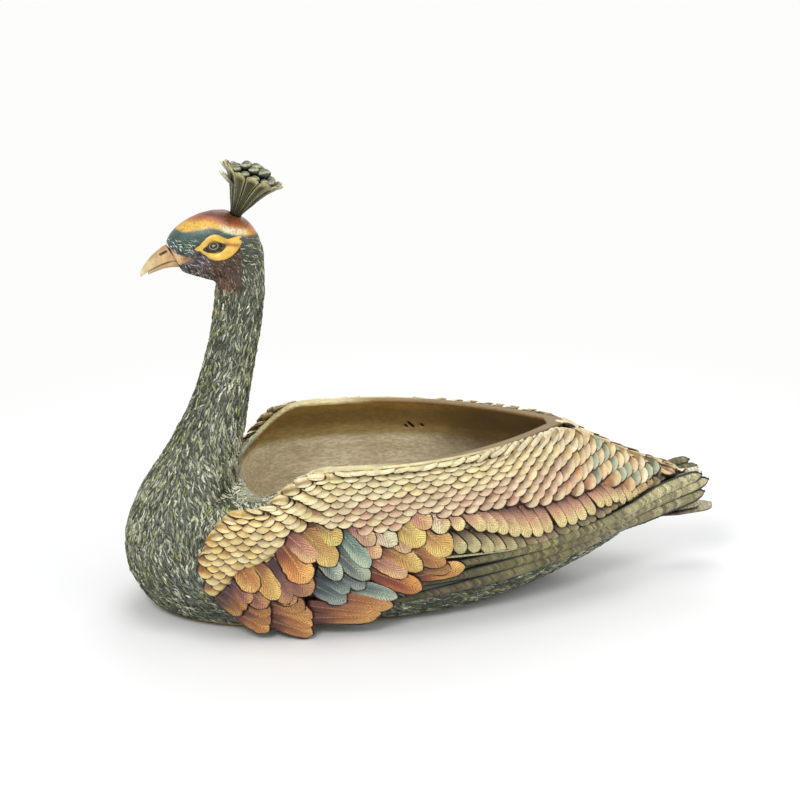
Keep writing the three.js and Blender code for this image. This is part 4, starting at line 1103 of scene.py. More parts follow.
def stroke_colour(point, normal, rng):
    """Colour of one small feather of the breast or the neck."""
    x, y, z = point / MM
    names = list(STROKE_PAINTS)
    odds = np.array([STROKE_PAINTS[n][1] for n in names])
    side_on = abs(normal[1])
    odds = odds * np.array([1.0, 1.0, 1.0 + side_on, 1.0 + side_on, 1.0 + 1.6 * side_on, 1.3 - side_on])
    patch = math.sin(x * 0.16 + z * 0.05 + y * 0.07) * math.sin(z * 0.12 - x * 0.06 + 2.0)
    odds = odds * (1 + np.array([-0.5, 0.2, 0.3, 0.6, 0.6, -0.3]) * patch)
    foot = float(smoothstep(x, -142, -122) * smoothstep(z, 78, 92) * (1 - smoothstep(z, 118, 138)))
    odds = odds + np.array([0, 0, 0.2, 0.9, 2.8, 0]) * foot
    # Painted shade: low on the hull the small feathers are more often dark
    low_shade = float(smoothstep(-z, -50, -10))
    odds = odds * (1 + np.array([1.6, 0.4, 0, -0.5, -0.6, 0.2]) * low_shade)
    colour = srgb(STROKE_PAINTS[rng.choice(names, p=odds / odds.sum())][0])
    cool = srgb("8c979b")
    return mix(colour, cool, 0.3 * side_on * rng.uniform(0, 1)) * rng.uniform(0.8, 1.2)


def spaced(points, allowed, room, rng):
    """Numbers of points in random order, no two of them closer than the room given."""
    taken = {}
    chosen = []
    cells = np.floor(points / (room * MM)).astype(int)
    for i in rng.permutation(np.flatnonzero(allowed)):
        cell = tuple(cells[i])
        beside = ((cell[0] + a, cell[1] + b, cell[2] + c) for a, b, c in product((-1, 0, 1), repeat=3))
        near = [taken[key] for key in beside if key in taken]
        if cell in taken or any(np.sum((points[j] - points[i]) ** 2) < (0.8 * room * MM) ** 2 for j in near):
            continue
        taken[cell] = i
        chosen.append(i)
    return chosen


# Outline of a small carved feather: places along it, and its half width, height and shade at each
STROKE_ALONG = (0.0, 0.2, 0.48, 0.76, 1.0)
STROKE_HALF = (0.4, 0.85, 1.0, 0.8, 0.16)
STROKE_RISE = (0.0, 0.6, 0.95, 1.1, 0.8)
STROKE_SHADE = (0.5, 0.75, 1.0, 1.15, 1.25)
STROKE_ACROSS = (-1, 0, 1)
STROKE_ROOTING = -0.35 # how far its sides lie below the surface


def lay_strokes(plumage, surface, tree, chosen, size, flow, tint, rng):
    """Small carved feathers that hug a surface, each lying along its flow: length, width and height in mm."""
    length, width, height = size
    shape = (len(STROKE_ALONG), len(STROKE_ACROSS))
    for i in chosen:
        normal = surface.normals[i]
        way = flow(surface.points[i], normal)
        beside = np.cross(normal, way)
        turn = rng.normal(0, 0.34)
        turned_way = way * math.cos(turn) + beside * math.sin(turn)
        beside = beside * math.cos(turn) - way * math.sin(turn)
        long, wide = length * rng.uniform(0.6, 1.3), width * rng.uniform(0.6, 1.4)
        curl = rng.normal(0, 0.16) * long
        tall = height * rng.uniform(0.6, 1.15)
        light = tint(surface.points[i], normal, rng)
        lit_edge = rng.choice((0, 2))
        points = np.zeros((*shape, 3))
        for a, (along, half, rise) in enumerate(zip(STROKE_ALONG, STROKE_HALF, STROKE_RISE)):
            ahead = along - 0.5
            centre = surface.points[i] + (turned_way * ahead * long + beside * curl * 4 * ahead**2) * MM
            for b, across in enumerate(STROKE_ACROSS):
                spot = centre + beside * across * half * wide / 2 * MM
                hit, face_normal, _, _ = tree.find_nearest(Vector(spot))
                lift = tall * rise if across == 0 else STROKE_ROOTING
                points[a, b] = np.array(hit) + np.array(face_normal) * (lift - SKIN_INSET) * MM
        colour = light * np.array(STROKE_SHADE)[:, None, None] * np.ones((*shape, 3))
        colour[:, 2 - lit_edge] *= 0.5
        colour[:, lit_edge] *= 0.85
        plumage.add(points, colour, np.zeros((*shape, 2)), False)


def seam_distance(points):
    """Distance of points from the joint across the neck, in mm."""
    tilt = NECK_SEAM["tilt"]
    x, z = points[:, 0] / MM - NECK_SEAM["x"], points[:, 2] / MM - NECK_SEAM["z"]
    return np.abs(z * math.cos(tilt) + x * math.sin(tilt))


# Head

# Lines across the side of the head: the edge of the brown cap, and the lower edges of the gold band and the
# teal brow
CAP_EDGE = [(-172, 262), (-164, 266.5), (-158, 269.8), (-150, 271.4), (-142, 271.2), (-134, 268.6),
            (-125, 266), (-116, 264.5), (-108, 262)]
GOLD_EDGE = [(-172, 262), (-165, 263.6), (-158.5, 262.8), (-150.5, 264.4), (-143, 265.8), (-138, 264.9),
             (-134, 263), (-126, 260.2), (-118, 259.4), (-110, 258)]
TEAL_EDGE = [(-173, 253), (-167, 251), (-162.5, 248.8), (-158, 248.4), (-154, 251), (-149, 254.6),
             (-144, 257), (-136, 258.6), (-130, 258), (-125, 256.5), (-120, 252), (-112, 247)]
# The horn of the beak reaches back over the face to the corner of the mouth
BEAK_EDGE = [(-174, 258), (-171.4, 254.6), (-168.6, 251), (-164.5, 248.1), (-160, 246.8), (-156, 246)]
BEAK_UNDER = [(-174, 234), (-166, 238.6), (-161, 241.6), (-156, 245.4)]
EYE = {"x": -141.4, "z": 253.8}
PATCH = [(-154.3, 252.2), (-150.5, 255.0), (-147.8, 257.8), (-145.2, 260.4), (-141.9, 261.8), (-138.7, 261.6),
         (-135.6, 260.2), (-132.4, 258.6), (-128.6, 257.6), (-125.2, 258.4), (-121.3, 260.4), (-123, 256.6),
         (-125.2, 252.6), (-128.1, 249.2), (-132.1, 246.4), (-137.3, 245), (-142.4, 245.5), (-146.8, 248.4),
         (-149.9, 251.2), (-152.4, 251.4)]
EYE_OPENING = [(-148.4, 252), (-146, 254.7), (-142.7, 256.9), (-138.8, 257.2), (-136, 255.8), (-133.8, 254.8),
               (-136, 251.8), (-139.7, 249.5), (-143.6, 249.4), (-146.7, 250.9)]


def head_colour(points, normals):
    """Brown cap, gold band with a painted highlight towards its rear, teal brow, purple-grey lores, brown
    cheek and green nape.
    """
    x, z = points[:, 0] / MM, points[:, 2] / MM
    side_on = np.abs(normals[:, 1])
    colour = mix(srgb("3c422e"), srgb("454a3a"), side_on)
    cheek = smoothstep(-x, 121, 127) * smoothstep(z, 214, 224) * (1 - smoothstep(z, 247, 256))
    colour = mix(colour, srgb("5b3c30"), 0.85 * cheek * (1 - smoothstep(-x, 147, 156)))
    lores = smoothstep(-x, 143, 148) * smoothstep(z, 238, 243) * (1 - smoothstep(z, 250, 254))
    colour = mix(colour, srgb("6b5f62"), 0.85 * lores)
    throat = smoothstep(-x, 128, 134) * smoothstep(z, 214, 219) * (1 - smoothstep(z, 226, 232))
    colour = mix(colour, srgb("a0643a"), 0.6 * throat)
    over_teal = z - line_at(TEAL_EDGE, x)
    colour = mix(colour, srgb("3b5651"), smoothstep(over_teal, -0.8, 0.8) * smoothstep(-x, 116, 124))
    over_gold = z - line_at(GOLD_EDGE, x)
    # The pale cream stretch of the gold band is a painted highlight
    gold = mix(srgb("dcb04a"), srgb("e9dab0"), smoothstep(x, -140, -133) * (1 - smoothstep(x, -123, -118)))
    gold = mix(gold, srgb("d98a3c"), smoothstep(x, -120, -114))
    colour = mix(colour, gold, smoothstep(over_gold, -1.2, 0.8))
    over_cap = z - line_at(CAP_EDGE, x)
    colour = mix(colour, srgb("b5682a"), smoothstep(over_cap, -3.2, -0.6))
    cap = smoothstep(over_cap, -1.0, 1.6) * (1 - 0.35 * smoothstep(x, -132, -124))
    colour = mix(colour, srgb("6b2b13"), cap)
    horn = (z < line_at(BEAK_EDGE, x)) & (z > line_at(BEAK_UNDER, x)) & (x < -156)
    horn_colour = mix(srgb("d9b584"), srgb("a9774a"), smoothstep(x, -166, -158))
    return np.where(horn[:, None], horn_colour, colour)


def head_flow(point, normal):
    """The way the small feathers of the head lie: back over the crown, and down the cheek and the neck."""
    z = point[2] / MM
    back = np.array([1.0, 0, -0.45]) if z > 240 else np.array([0.5, 0, -1.0])
    flow = back + (np.array([-0.12, 0, -1.0]) - back) * smoothstep(-z, -236, -222)
    flow = flow - normal * (flow @ normal)
    return flow / (np.linalg.norm(flow) + 1e-9)


# Small feathers of the teal brow, of the lores before the eye and of the brown cheek
BROW_STROKES = ["2c4744", "52776f", "9dbab0", "eef1e2", "16211f", "9aa35e", "e3e6cc"]
LORES_STROKES = ["857579", "55494b", "cfc4c4", "3b3a30"]
CHEEK_STROKES = ["6a4334", "8d6a4d", "49372a", "a8916e", "5b4c35"]


def head_tint(point, normal, rng):
    """Colour of one small feather of the head."""
    x, _, z = point / MM
    if z > line_at(TEAL_EDGE, x) and x < -121:
        return srgb(rng.choice(BROW_STROKES)) * rng.uniform(0.8, 1.15)
    if x < -144 and z < 253:
        return srgb(rng.choice(LORES_STROKES)) * rng.uniform(0.8, 1.1)
    if -150 < x < -124 and 216 < z < 252:
        return srgb(rng.choice(CHEEK_STROKES)) * rng.uniform(0.85, 1.1)
    return stroke_colour(point, normal, rng)


def build_head():
    """The painted skin of the head and upper neck. Returns its surface."""
    head = even_copy("head_even", "head_and_neck", voxel=0.8, rounds=3)
    head.relax(0.6 * smoothstep(head.points[:, 2] / MM, 218, 226), 14)
    fade = smoothstep(-head.points[:, 2] / MM, -262, -252)[:, None]
    points = head.points - head.normals * SKIN_INSET * fade * MM
    colour = head_colour(head.points, head.normals)
    mesh = new_mesh("head_skin", points, head.faces, colour)
    dress(new_object("head_skin", mesh, PAINTS["skin"]), "breast_paint", "head_and_neck")
    return head


OUTLINE_SAMPLES = 121


def around(outline):
    """Even angles about the eye, and how far the outline reaches from the eye at each."""
    outline = np.array(outline, float) - (EYE["x"], EYE["z"])
    angles = np.arctan2(outline[:, 1], outline[:, 0])
    order = np.argsort(angles)
    angles, reach = angles[order], np.linalg.norm(outline, axis=1)[order]
    turns = np.linspace(-math.pi, math.pi, OUTLINE_SAMPLES)
    return turns, np.interp(turns, angles, reach, period=2 * math.pi)


# Rings of the patch from the lids outwards: share of the way out, and height
PATCH_RINGS = [(0, 0.1), (0.06, 0.9), (0.2, 1.25), (0.5, 1.45), (0.8, 1.3), (0.94, 0.9), (1.0, 0.3),
               (1.0, -1.2)]
PATCH_STREAK = ((-134.5, 255.6), (-126.5, 254.4))
# Rings of the eyeball from its middle outwards: distance, height and colour
EYE_RINGS = [(0.0, 1.75, "dfe2dc"), (0.5, 1.72, "b9beb9"), (1.0, 1.62, "8f9694"), (1.5, 1.46, "4c5250"),
             (1.9, 1.28, "15161a"), (2.3, 1.0, "101013"), (2.7, 1.05, "2a2118"), (3.0, 1.35, "cfbd8c"),
             (3.3, 1.3, "b59c64"), (3.6, 0.8, "241810"), (4.2, 0.0, "1c120c")]
EYE_STRETCH = 1.12 # how much longer than high the eyeball is


def build_patch(side_name):
    """The yellow patch of one side, with its orange streak and its dark lids."""
    side = SIDES[side_name]
    turns, outer = around(PATCH)
    _, inner = around(EYE_OPENING)
    shares, lifts = (np.array(values)[:, None] for values in zip(*PATCH_RINGS))
    reach = inner[None] + (outer - inner)[None] * shares
    x = EYE["x"] + reach * np.cos(turns)[None]
    z = EYE["z"] + reach * np.sin(turns)[None]
    points = head_sheet.points(x, z, np.broadcast_to(lifts, x.shape), side)
    colour = mix(srgb("f0cb52"), srgb("e2ad3e"), np.broadcast_to(shares, x.shape))
    streak = segment_distance(x, z, *PATCH_STREAK)
    colour = mix(colour, srgb("b0561f"), 0.85 * (1 - smoothstep(streak, 0.5, 1.7)))
    colour = mix(colour, srgb("3a2414"), 0.85 * (shares > 0.97))
    colour = mix(colour, srgb("2a1a10"), 0.9 * (shares < 0.05))
    patch = Plumage()
    patch.add(points, colour, np.zeros((*x.shape, 2)), side < 0, closed=False)
    piece = patch.build(f"patch_{side_name}", PAINTS["enamel"])
    dress(piece, "eye_patch_paint", f"eye_patch_{side_name}")


def build_eyeball(side_name):
    """The eyeball of one side, kept within its lids."""
    side = SIDES[side_name]
    turns, inner = around(EYE_OPENING)
    rings, heights, shades = zip(*EYE_RINGS)
    rings, heights = np.array(rings)[:, None], np.array(heights)[:, None]
    x = EYE["x"] + rings * np.cos(turns)[None] * EYE_STRETCH
    z = EYE["z"] + rings * np.sin(turns)[None]
    share = np.minimum(1, inner[None] / np.maximum(np.hypot(x - EYE["x"], z - EYE["z"]), 1e-6))
    x = EYE["x"] + (x - EYE["x"]) * share
    z = EYE["z"] + (z - EYE["z"]) * share
    points = head_sheet.points(x, z, np.broadcast_to(heights, x.shape), side)
    colour = np.tile(np.stack([srgb(c) for c in shades])[:, None], (1, len(turns), 1))
    flecks = 0.5 + 0.5 * np.sin(turns * 6)
    colour[1:3] = mix(colour[1:3], srgb("5d6463"), 0.5 * flecks[None])
    eye = Plumage()
    eye.add(points, colour, np.zeros((*x.shape, 2)), side < 0, closed=False)
    dress(eye.build(f"eyeball_{side_name}", PAINTS["enamel"]), "eye_enamel", f"eye_{side_name}")


def segment_distance(x, z, start, end):
    """Distance of (x, z) places from a straight line between two places."""
    start, way = np.array(start, float), np.subtract(end, start)
    share = np.clip(((x - start[0]) * way[0] + (z - start[1]) * way[1]) / (way @ way), 0, 1)
    return np.hypot(x - start[0] - share * way[0], z - start[1] - share * way[1])


NOSTRIL = ((-175.2, 246.8), (-171.4, 248.9))
MOUTH = [(-190, 233.6), (-183.5, 235.8), (-175.6, 239.1), (-167.8, 242.4), (-162.6, 244.2), (-156, 245.6)]
BEAK_RIDGE = [(-190, 240), (-167, 252)]
MOUTH_CLOSE = 0.9 # how far the lower half is raised to meet the upper one
BEAK_JOIN = 1.8 # how far both halves are drawn back into the face


def build_beak():
    """Both halves of the beak, with a nostril slit painted nearly black as shade and a stained mouth line."""
    for name, node in (("upper_mandible", "upper_beak"), ("lower_mandible", "lower_beak")):
        half = even_copy(name, node, voxel=0.5, rounds=3)
        x, y, z = (half.points / MM).T
        slit = 1 - smoothstep(segment_distance(x, z, *NOSTRIL), 0.2, 1.0)
        if node == "lower_beak":
            slit = np.zeros(len(x))
            half.points[:, 2] += MOUTH_CLOSE * MM
        half.points[:, 1] -= np.sign(y) * slit * 1.1 * MM
        half.points[:, 0] += BEAK_JOIN * smoothstep(x, x.max() - 4, x.max() - 1) * MM
        mouth = np.min([segment_distance(x, z, a, b) for a, b in zip(MOUTH, MOUTH[1:])], axis=0)
        colour = mix(srgb("d3b07c"), srgb("e6d09c"), smoothstep(-x, 174, 187))
        ridge_stain = smoothstep(z - line_at(BEAK_RIDGE, x), -2.5, 1.5)
        colour = mix(colour, srgb("a8763f"), 0.55 * ridge_stain)
        mouth_stain = 0.8 * (1 - smoothstep(mouth, 0.3, 1.6)) * smoothstep(x, -188, -172)
        colour = mix(colour, srgb("7c4c2a"), mouth_stain)
        colour = mix(colour, srgb("a06a3e"), 0.45 * smoothstep(x, -172, -164))
        # Painted shade: the nostril slit is nearly black
        colour = mix(colour, srgb("24160e"), slit)
        piece = new_object(name, new_mesh(name, half.points, half.faces, colour), PAINTS["beak"])
        dress(piece, "beak_paint", node)


# Kinds of small feathers: the room that each keeps, and its length, width and height
BROAD_STROKES = (3.4, (8.6, 3.9, 0.5))
SLIM_STROKES = (2.8, (6.6, 1.8, 0.85))
SEAM_STROKES = (2.0, (8.0, 3.0, 0.9))
HEAD_STROKES = (1.9, (4.4, 1.6, 0.6))
SEAM_REACH = 3.5
NECK_FROM_Z, HEAD_FROM_Z = 158, 222


def lay_small_feathers(body, bare, head):
    """The small carved feathers of the breast, neck and head, and the denser ones over the neck's joint."""
    strokes = Plumage()
    rng = np.random.default_rng(SEEDS["small feathers"])
    tree = BVHTree.FromPolygons([*body.points.tolist(), *head.points.tolist()],
                                [*body.faces, *([i + len(body.points) for i in f] for f in head.faces)])
    hidden = in_fan(body.points) | in_wing(body.points) | in_tail(body.points)
    x, z = body.points[:, 0] / MM, body.points[:, 2] / MM
    at_lip = (x > -104) & (z > rim_line(x) - 1.5)
    free = bare & ~hidden & ~at_lip & (z > 3.5)
    head_x, head_z = head.points[:, 0] / MM, head.points[:, 2] / MM
    off_middle = head.points[:, 1] != 0
    on_neck = (head_z < HEAD_FROM_Z) & (head_z > NECK_FROM_Z) & off_middle
    for surface, allowed in ((body, free), (head, on_neck)):
        near_seam = allowed & (seam_distance(surface.points) < SEAM_REACH)
        for kind, where in ((BROAD_STROKES, allowed), (SLIM_STROKES, allowed), (SEAM_STROKES, near_seam)):
            room, size = kind
            chosen = spaced(surface.points, where, room, rng)
            lay_strokes(strokes, surface, tree, chosen, size, flow_at, stroke_colour, rng)
    horn = (head_z < line_at(BEAK_EDGE, head_x) + 0.6) & (head_z > line_at(BEAK_UNDER, head_x) - 0.6)
    horn = horn & (head_x < -155.5)
    on_head = (head_z >= HEAD_FROM_Z) & (head_z < line_at(GOLD_EDGE, head_x) - 0.5) & ~horn
    room, size = HEAD_STROKES
    chosen = spaced(head.points, on_head, room, rng)
    lay_strokes(strokes, head, tree, chosen, size, head_flow, head_tint, rng)
    dress(strokes.build("breast_feathers", PAINTS["skin"]), "breast_paint")


# Crest

CREST = {"foot": (-126.4, 0, 269.0), "tilt": math.radians(25), "length": 28.5, "petals": 13}
# Distance of each ring of buds from the axis, how many buds it has and how far they stand above the cup
BUD_RINGS = [(0.0, 1, 9.4), (7.2, 6, 8.2), (12.8, 11, 4.2)]

# The slim petals that stand out in front: start and end of each
CREST_FINGERS = [((-121.5, 2, 291.0), (-134.6, 1, 306.6)), ((-122, -5, 286.0), (-135.8, -6, 301.8)),
                 ((-121.5, 7, 291.0), (-131, 9, 303.6))]


def crest_radius(t):
    return 4.4 + 12.4 * np.power(t, 2.1)


def crest_place(t, turn, out):
    """A point of the crest at a share of its length, an angle round it and a distance from its axis."""
    tilt = CREST["tilt"]
    up = np.array([math.sin(tilt), 0, math.cos(tilt)])
    aside = np.array([math.cos(tilt), 0, -math.sin(tilt)])
    foot = np.array(CREST["foot"], float)
    t, turn, out = (np.asarray(v, float)[..., None] for v in (t, turn, out))
    ring = aside * np.cos(turn) + np.array([0, 1.0, 0]) * np.sin(turn)
    return foot + up * t * CREST["length"] + ring * out


def build_crest():
    """A fluted cup of petals on a short stem, filled with round buds."""
    rng = np.random.default_rng(SEEDS["crest"])
    cup = Plumage()
    dark, mid, ivory = srgb("25290f"), srgb("44472a"), srgb("d8ce96")
    for p in range(CREST["petals"]):
        middle = 2 * math.pi * (p + 0.5) / CREST["petals"]
        across = np.linspace(-1, 1, 9)[None]
        t = np.linspace(0, 1, 16)[:, None]
        tall = 1.0 + 0.1 * (1 - across**2) + rng.uniform(-0.02, 0.02)
        reach = t * tall
        turn = middle + across * math.pi / CREST["petals"] * 1.08
        bulge = 2.6 * np.sqrt(np.maximum(1 - across**2, 0)) * smoothstep(t, 0.0, 0.4) - 0.8
        lip = 1.1 * smoothstep(t, 0.86, 1.0)
        vein = 0.35 * np.cos(across * 3 * math.pi) * smoothstep(t, 0.2, 0.6)
        out = crest_radius(np.minimum(reach, 1.05)) + bulge + lip + vein
        outer = crest_place(reach, turn, out) * MM
        inner = crest_place(reach, turn, out - 1.7) * MM
        side_edge = np.exp(-(((np.abs(across) - 0.74) / 0.12) ** 2)) * smoothstep(t, 0.05, 0.4)
        edge = np.maximum(0.7 * side_edge, smoothstep(t, 0.88, 0.98))
        colour = mix(mix(dark, mid, smoothstep(t, 0.1, 0.7)), ivory, edge * 0.9)
        mesh_shell(cup, outer, inner, colour, srgb("2c3026"))
    ball = np.linspace(0, math.pi, 10)[:, None]
    spin = np.linspace(0, 2 * math.pi, 17)[None]
    # The dark core fills the cup below the buds: painted shade inside the hollow cup
    core_t = np.linspace(0, 0.86, 10)[:, None]
    core = crest_place(core_t, spin, crest_radius(core_t) - 1.2) * MM
    cup.add(core, srgb("23271d"), np.zeros((*core.shape[:2], 2)), False, closed=False)
    for out, count, rise in BUD_RINGS:
        for i in range(count):
            turn = 2 * math.pi * (i + 0.3 * rng.uniform()) / count
            t = (CREST["length"] - 3.2 + rise) / CREST["length"]
            centre = crest_place(t, turn, out)
            add_bud(cup, centre, rng, ball, spin, 4.1 if out < 10 else 3.5)
    for start, end in CREST_FINGERS:
        add_finger(cup, np.array(start), np.array(end), ball, spin)
    piece = cup.build("crest_cup", PAINTS["crest"])
    dress(piece, "crest_paint", "crest")


def mesh_shell(plumage, outer, inner, colour, back):
    """A petal with thickness: its outer and inner faces and its edges. The inner face is darkened towards the
    back colour as painted shade inside the cup.
    """
    wall = np.concatenate([outer, inner[::-1]], axis=0)
    paint = np.concatenate([colour, mix(colour[::-1], back, 0.6 * np.ones(colour.shape[:2]))], axis=0)
    rows, columns = wall.shape[:2]
    index = plumage.total + np.arange(rows * columns).reshape(rows, columns)
    plumage.add(wall, paint, np.zeros((rows, columns, 2)), False, closed=False)
    for i in range(rows // 2 - 1):
        low, high = index[i], index[i + 1]
        far_low, far_high = index[rows - 1 - i], index[rows - 2 - i]
        plumage.faces.append([int(v) for v in (low[0], high[0], far_high[0], far_low[0])])
        plumage.faces.append([int(v) for v in (high[-1], low[-1], far_low[-1], far_high[-1])])
    for k in range(columns - 1):
        plumage.faces.append([int(v) for v in (index[0, k + 1], index[0, k], index[-1, k], index[-1, k + 1])])


def add_bud(plumage, centre, rng, ball, spin, size):
    """A round bud, dark below and pale round its top edge."""
    high = np.cos(ball) * np.ones_like(spin)
    flat = np.stack([np.sin(ball) * np.cos(spin), np.sin(ball) * np.sin(spin), high], -1)
    flat = flat * np.array([1.0, 1.0, 0.82]) * size * rng.uniform(0.92, 1.08)
    pinch = 1 - 0.16 * smoothstep(high, 0.2, 1.0)
    flat[..., :2] *= pinch[..., None]
    colour = mix(srgb("2a301c"), srgb("4a5238"), smoothstep(high, -0.1, 0.75))
    colour = mix(colour, srgb("d3cfa6"), 0.9 * np.exp(-(((high - 0.5) / 0.16) ** 2)) * rng.uniform(0.6, 1.0))
    points = (centre + flat) * MM
    plumage.add(points, colour, np.zeros((*high.shape, 2)), False, closed=False)


def add_finger(plumage, start, end, ball, spin):
    """A slim rounded petal from one place to another."""
    way = end - start
    long = np.linalg.norm(way)
    way /= long
    beside = np.cross(way, (0, 1, 0))
    beside /= np.linalg.norm(beside)
    other = np.cross(beside, way)
    run = -np.cos(ball) * np.ones_like(spin)
    wide = np.sin(ball) * (1 + 0.35 * run)
    points = start + way * (run[..., None] + 1) * long / 2 + beside * (wide * np.cos(spin) * 1.5)[..., None]
    points = points + other * (wide * np.sin(spin) * 2.3)[..., None]
    colour = mix(srgb("59624a"), srgb("dcd8b8"), smoothstep(run, -0.2, 0.9))
    plumage.add(points * MM, colour, np.zeros((*run.shape, 2)), False, closed=False)


# Middle feathers of the tail, and the plate below the figure

# Line of each middle feather in x and z, where its copies lie across the tail, and its half width, thickness,
# rise at its sides and colours
MIDDLE_FEATHERS = [
    {"line": [(160, 40), (170, 42), (182, 43.6), (194, 44.8), (205.5, 45.8)], "places": (0,), "half": 9,
     "thick": 2.2, "rise": 1.0, "colours": ("3c3b28", "c4bb92")},
    {"line": [(168, 45), (182, 47), (195, 48.8)], "places": (-3.5, 3.5), "half": 5, "thick": 2.0,
     "rise": 0.6, "colours": ("6a6444", "e2d9b0")},
    {"line": [(172, 70), (186, 70.4), (196, 71.6)], "places": (-4.2, 4.2), "half": 4.6, "thick": 2.0,
     "rise": -1.0, "colours": ("8d876a", "e9e0bc")},
]


def build_middle_feathers():
    """The flat feathers across the middle of the tail's tip."""
    plumage = Plumage()
    share = np.concatenate([np.linspace(0, 0.8, 24), 0.8 + 0.2 * np.sin(np.linspace(0.1, math.pi / 2, 9))])
    across = np.array([-1.12, -1, -0.6, -0.2, 0, 0.2, 0.6, 1, 1.12])
    for feather in MIDDLE_FEATHERS:
        for place in feather["places"]:
            lay_middle_feather(plumage, feather, place, share, across)
    piece = plumage.build("tail_middle_feathers", PAINTS["tail_feathers"])
    dress(piece, "tail_paint", "tail_feather_keel", "tail_feather_top")


def lay_middle_feather(plumage, feather, place, share, across):
    """One flat feather, with a dark edge and faint bars, at a place across the tail."""
    line = np.array(feather["line"], float)
    x, z = (np.interp(share, np.linspace(0, 1, len(line)), line[:, i]) for i in (0, 1))
    past = np.clip((share - 0.78) / 0.22, 0, 1)
    half = feather["half"] * np.minimum(1, 0.3 + 1.6 * share) * np.sqrt(np.maximum(1 - past**2.2, 0.001))
    crown = feather["thick"] * np.where(np.abs(across) > 1, -0.4, 1 - 0.9 * across**2)
    y = place + half[:, None] * across[None]
    height = z[:, None] + crown[None] + feather["rise"] * across[None] ** 2
    long = np.broadcast_to(x[:, None], y.shape)
    root, tip = (srgb(c) for c in feather["colours"])
    bars = 0.85 + 0.25 * np.sin(long * 2.6)
    colour = mix(root, tip, smoothstep(share, 0.2, 0.8)[:, None]) * bars[..., None]
    colour = np.where((np.abs(across) > 1)[None, :, None], DARK_GREEN_EDGE, colour)
    points = np.stack([long, y, height], -1) * MM
    plumage.add(points, colour, np.stack([y - place, long], -1), False)


def dress_plate():
    """A brass finish for the plate below the figure."""
    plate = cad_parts["base_plate"]
    plate.data.materials.clear()
    plate.data.materials.append(
        aged_brass("base_brass_look", (0.78, 0.56, 0.24), (0.5, 0.36, 0.16), 0.6, 0.4, painted_points=False)
    )


# Stage

FLOOR_FADE = (0.3, 0.62)
FLOOR_REACH = 4
BACKGROUND = (0.98, 0.98, 0.97, 1)
# Place, size and power of each lamp, which all aim at the figure
LAMP_AIM = (0, 0, 0.1)
LAMPS = {
    "key": ((-0.9, -1.5, 1.7), 0.7, 19),
    "fill": ((1.4, -1.2, 1.0), 1.4, 6),
    "back": ((0.5, 1.5, 1.5), 1.2, 8),
    "top": ((0.0, 0.0, 2.0), 1.0, 10),
}


def seen_directly(tree):
    """One where the camera sees a surface itself or mirrored in another, and nought for its light."""
    path = add(tree, "LightPath")
    return arithmetic(tree, "MAXIMUM", path.outputs["Is Camera Ray"], path.outputs["Is Glossy Ray"])


def floor_finish():
    """A white floor that keeps the figure's shadow, and fades into the white background away from it."""
    material, tree, surface = shader_nodes("floor_white")
    surface.inputs["Base Color"].default_value = (0.93, 0.93, 0.92, 1)
    surface.inputs["Roughness"].default_value = 0.9
    place = add(tree, "TexCoord").outputs["Object"]
    away = add(tree, "VectorMath", {0: place}, operation="LENGTH").outputs["Value"]
    fade = ranged(tree, away, FLOOR_FADE[0], FLOOR_FADE[1])
    seen = seen_directly(tree)
    glow = add(tree, "Emission", {"Color": BACKGROUND, "Strength": 1.0})
    factor = arithmetic(tree, "MULTIPLY", fade, seen)
    both = add(tree, "MixShader", {0: factor, 1: surface.outputs[0], 2: glow.outputs[0]})
    output = next(node for node in tree.nodes if node.type == "OUTPUT_MATERIAL")
    tree.links.new(both.outputs[0], output.inputs[0])
    return material


def build_camera(scene):
    camera_data = bpy.data.cameras.new("camera")
    camera_data.lens = CAMERA_LENS
    camera = bpy.data.objects.new("camera", camera_data)
    level = math.cos(CAMERA_ELEVATION)
    back = Vector(
        (
            math.sin(CAMERA_AZIMUTH) * level,
            -math.cos(CAMERA_AZIMUTH) * level,
            math.sin(CAMERA_ELEVATION),
        )
    )
    camera.location = CAMERA_TARGET + back * CAMERA_DISTANCE
    camera.rotation_euler = (-back).to_track_quat("-Z", "Y").to_euler()
    scene.collection.objects.link(camera)
    scene.camera = camera
    scene.view_settings.view_transform = "Standard"


def build_floor(scene):
    floor_mesh = bpy.data.meshes.new("floor")
    reach = FLOOR_REACH
    corners = [(-reach, -reach, 0), (reach, -reach, 0), (reach, reach, 0), (-reach, reach, 0)]
    floor_mesh.from_pydata(corners, [], [(0, 1, 2, 3)])
    floor = bpy.data.objects.new("floor", floor_mesh)
    scene.collection.objects.link(floor)
    floor_mesh.materials.append(floor_finish())


def build_light(scene):
    """A white background with a softer light of its own, and the lamps."""
    world = bpy.data.worlds.new("studio")
    world.use_nodes = True
    scene.world = world
    tree = world.node_tree
    tree.nodes.clear()
    output = tree.nodes.new("ShaderNodeOutputWorld")
    seen = add(tree, "Background", {"Color": BACKGROUND, "Strength": 1.0})
    felt = add(tree, "Background", {"Color": (0.96, 0.98, 1.0, 1), "Strength": 0.55})
    chosen = add(tree, "MixShader", {0: seen_directly(tree), 1: felt.outputs[0], 2: seen.outputs[0]})
    tree.links.new(chosen.outputs[0], output.inputs[0])
    for name, (place, size, power) in LAMPS.items():
        lamp_data = bpy.data.lights.new(name, "AREA")
        lamp_data.size = size
        lamp_data.energy = power
        lamp = bpy.data.objects.new(name, lamp_data)
        lamp.location = place
        aim = Vector(LAMP_AIM) - Vector(place)
        lamp.rotation_euler = aim.to_track_quat("-Z", "Y").to_euler()
        scene.collection.objects.link(lamp)


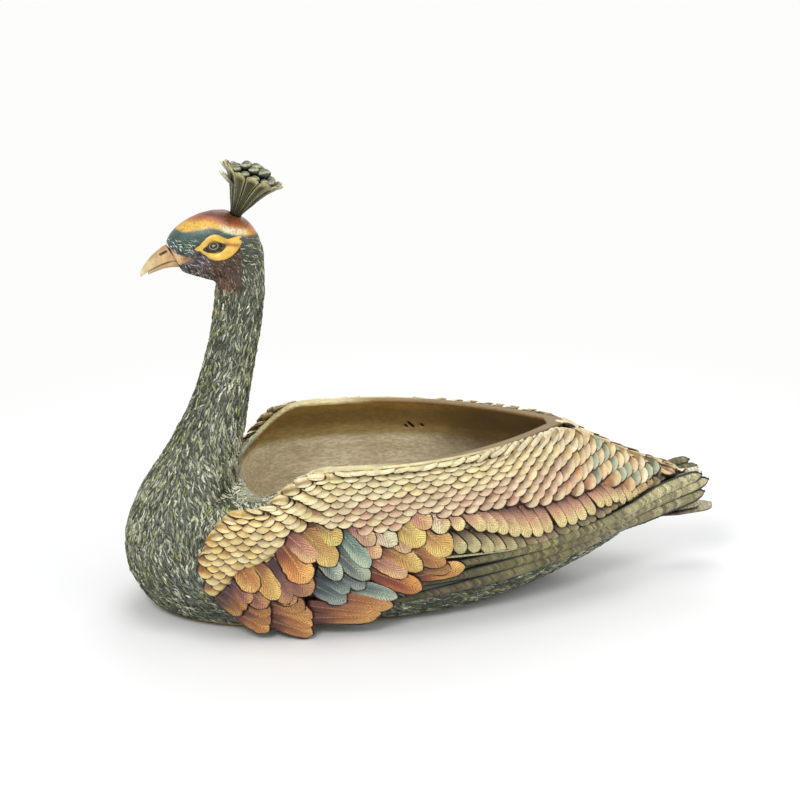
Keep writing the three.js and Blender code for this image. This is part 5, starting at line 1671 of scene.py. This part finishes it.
PAINTS = {
    "wing_scales": painted("wing_scale_paint", srgb("4a2812"), 0.12, 0.42, 0.2, mottle=0.12, crevice=1.9),
    "wing_coverts": painted("covert_paint", srgb("3c2010"), 0.12, 0.42, 0.2, mottle=0.2, crevice=1.8,
                            barbs=(2.0, 1.2, 0.6)),
    "fan_feathers": painted("fan_paint", srgb("33170c"), 0.16, 0.4, 0.25, mottle=0.26, crevice=2.2,
                            barbs=(2.5, 1.5, 0.8)),
    "tail_feathers": painted("tail_paint", srgb("1a190f"), 0.12, 0.45, 0.15, mottle=0.35, crevice=2.0,
                             barbs=(1.8, 0.9, 0.5)),
    "skin": painted("skin_paint", srgb("191d14"), 0.15, 0.42, 0.3, mottle=0.4, crevice=1.3, relief=0.5),
    "enamel": painted("enamel_paint", srgb("2a160a"), 0.0, 0.25, 0.6, mottle=0.08, crevice=1.0, relief=0.1),
    "beak": painted("beak_horn", srgb("3a2212"), 0.05, 0.4, 0.25, mottle=0.14, crevice=1.6, relief=0.2),
    "crest": painted("crest_paint_look", srgb("15170e"), 0.2, 0.42, 0.2, mottle=0.35, crevice=2.6),
    "brass": aged_brass("bowl_brass_look", (1, 1, 1), (0.78, 0.75, 0.7), 0.14, 0.42, pits=0.35),
}

wing_sheet = Sheet(
    tree_of("wing_left", "body_casting"),
    soften=3,
    reach=lambda x: min(line_at(WING_TOP, x), rim_line(x)) - 1,
    step=WING_SHEET_STEP,
)
hull_sheet = Sheet(tree_of("body_casting"), soften=3, reach=below_rim, drape=DRAPE_HEIGHT)
tail_sheet = Sheet(tree_of("body_casting"), soften=3, reach=below_rim, spread=TAIL_SPREAD)
ridge = Ridge(tree_of("wing_left", "wing_right", "body_casting", "tail_feather_top"), (88, 196), (-16, 16.5))
head_sheet = Sheet(tree_of("head_and_neck"), soften=2, x=(-164, -112), z=(238, 270), step=0.5)

for side_name in SIDES:
    flank(side_name)
    build_patch(side_name)
    build_eyeball(side_name)
body, bare = build_body()
head = build_head()
build_beak()
build_crest()

lay_small_feathers(body, bare, head)
build_middle_feathers()
dress_plate()

build_camera(bpy.context.scene)
build_floor(bpy.context.scene)
build_light(bpy.context.scene)
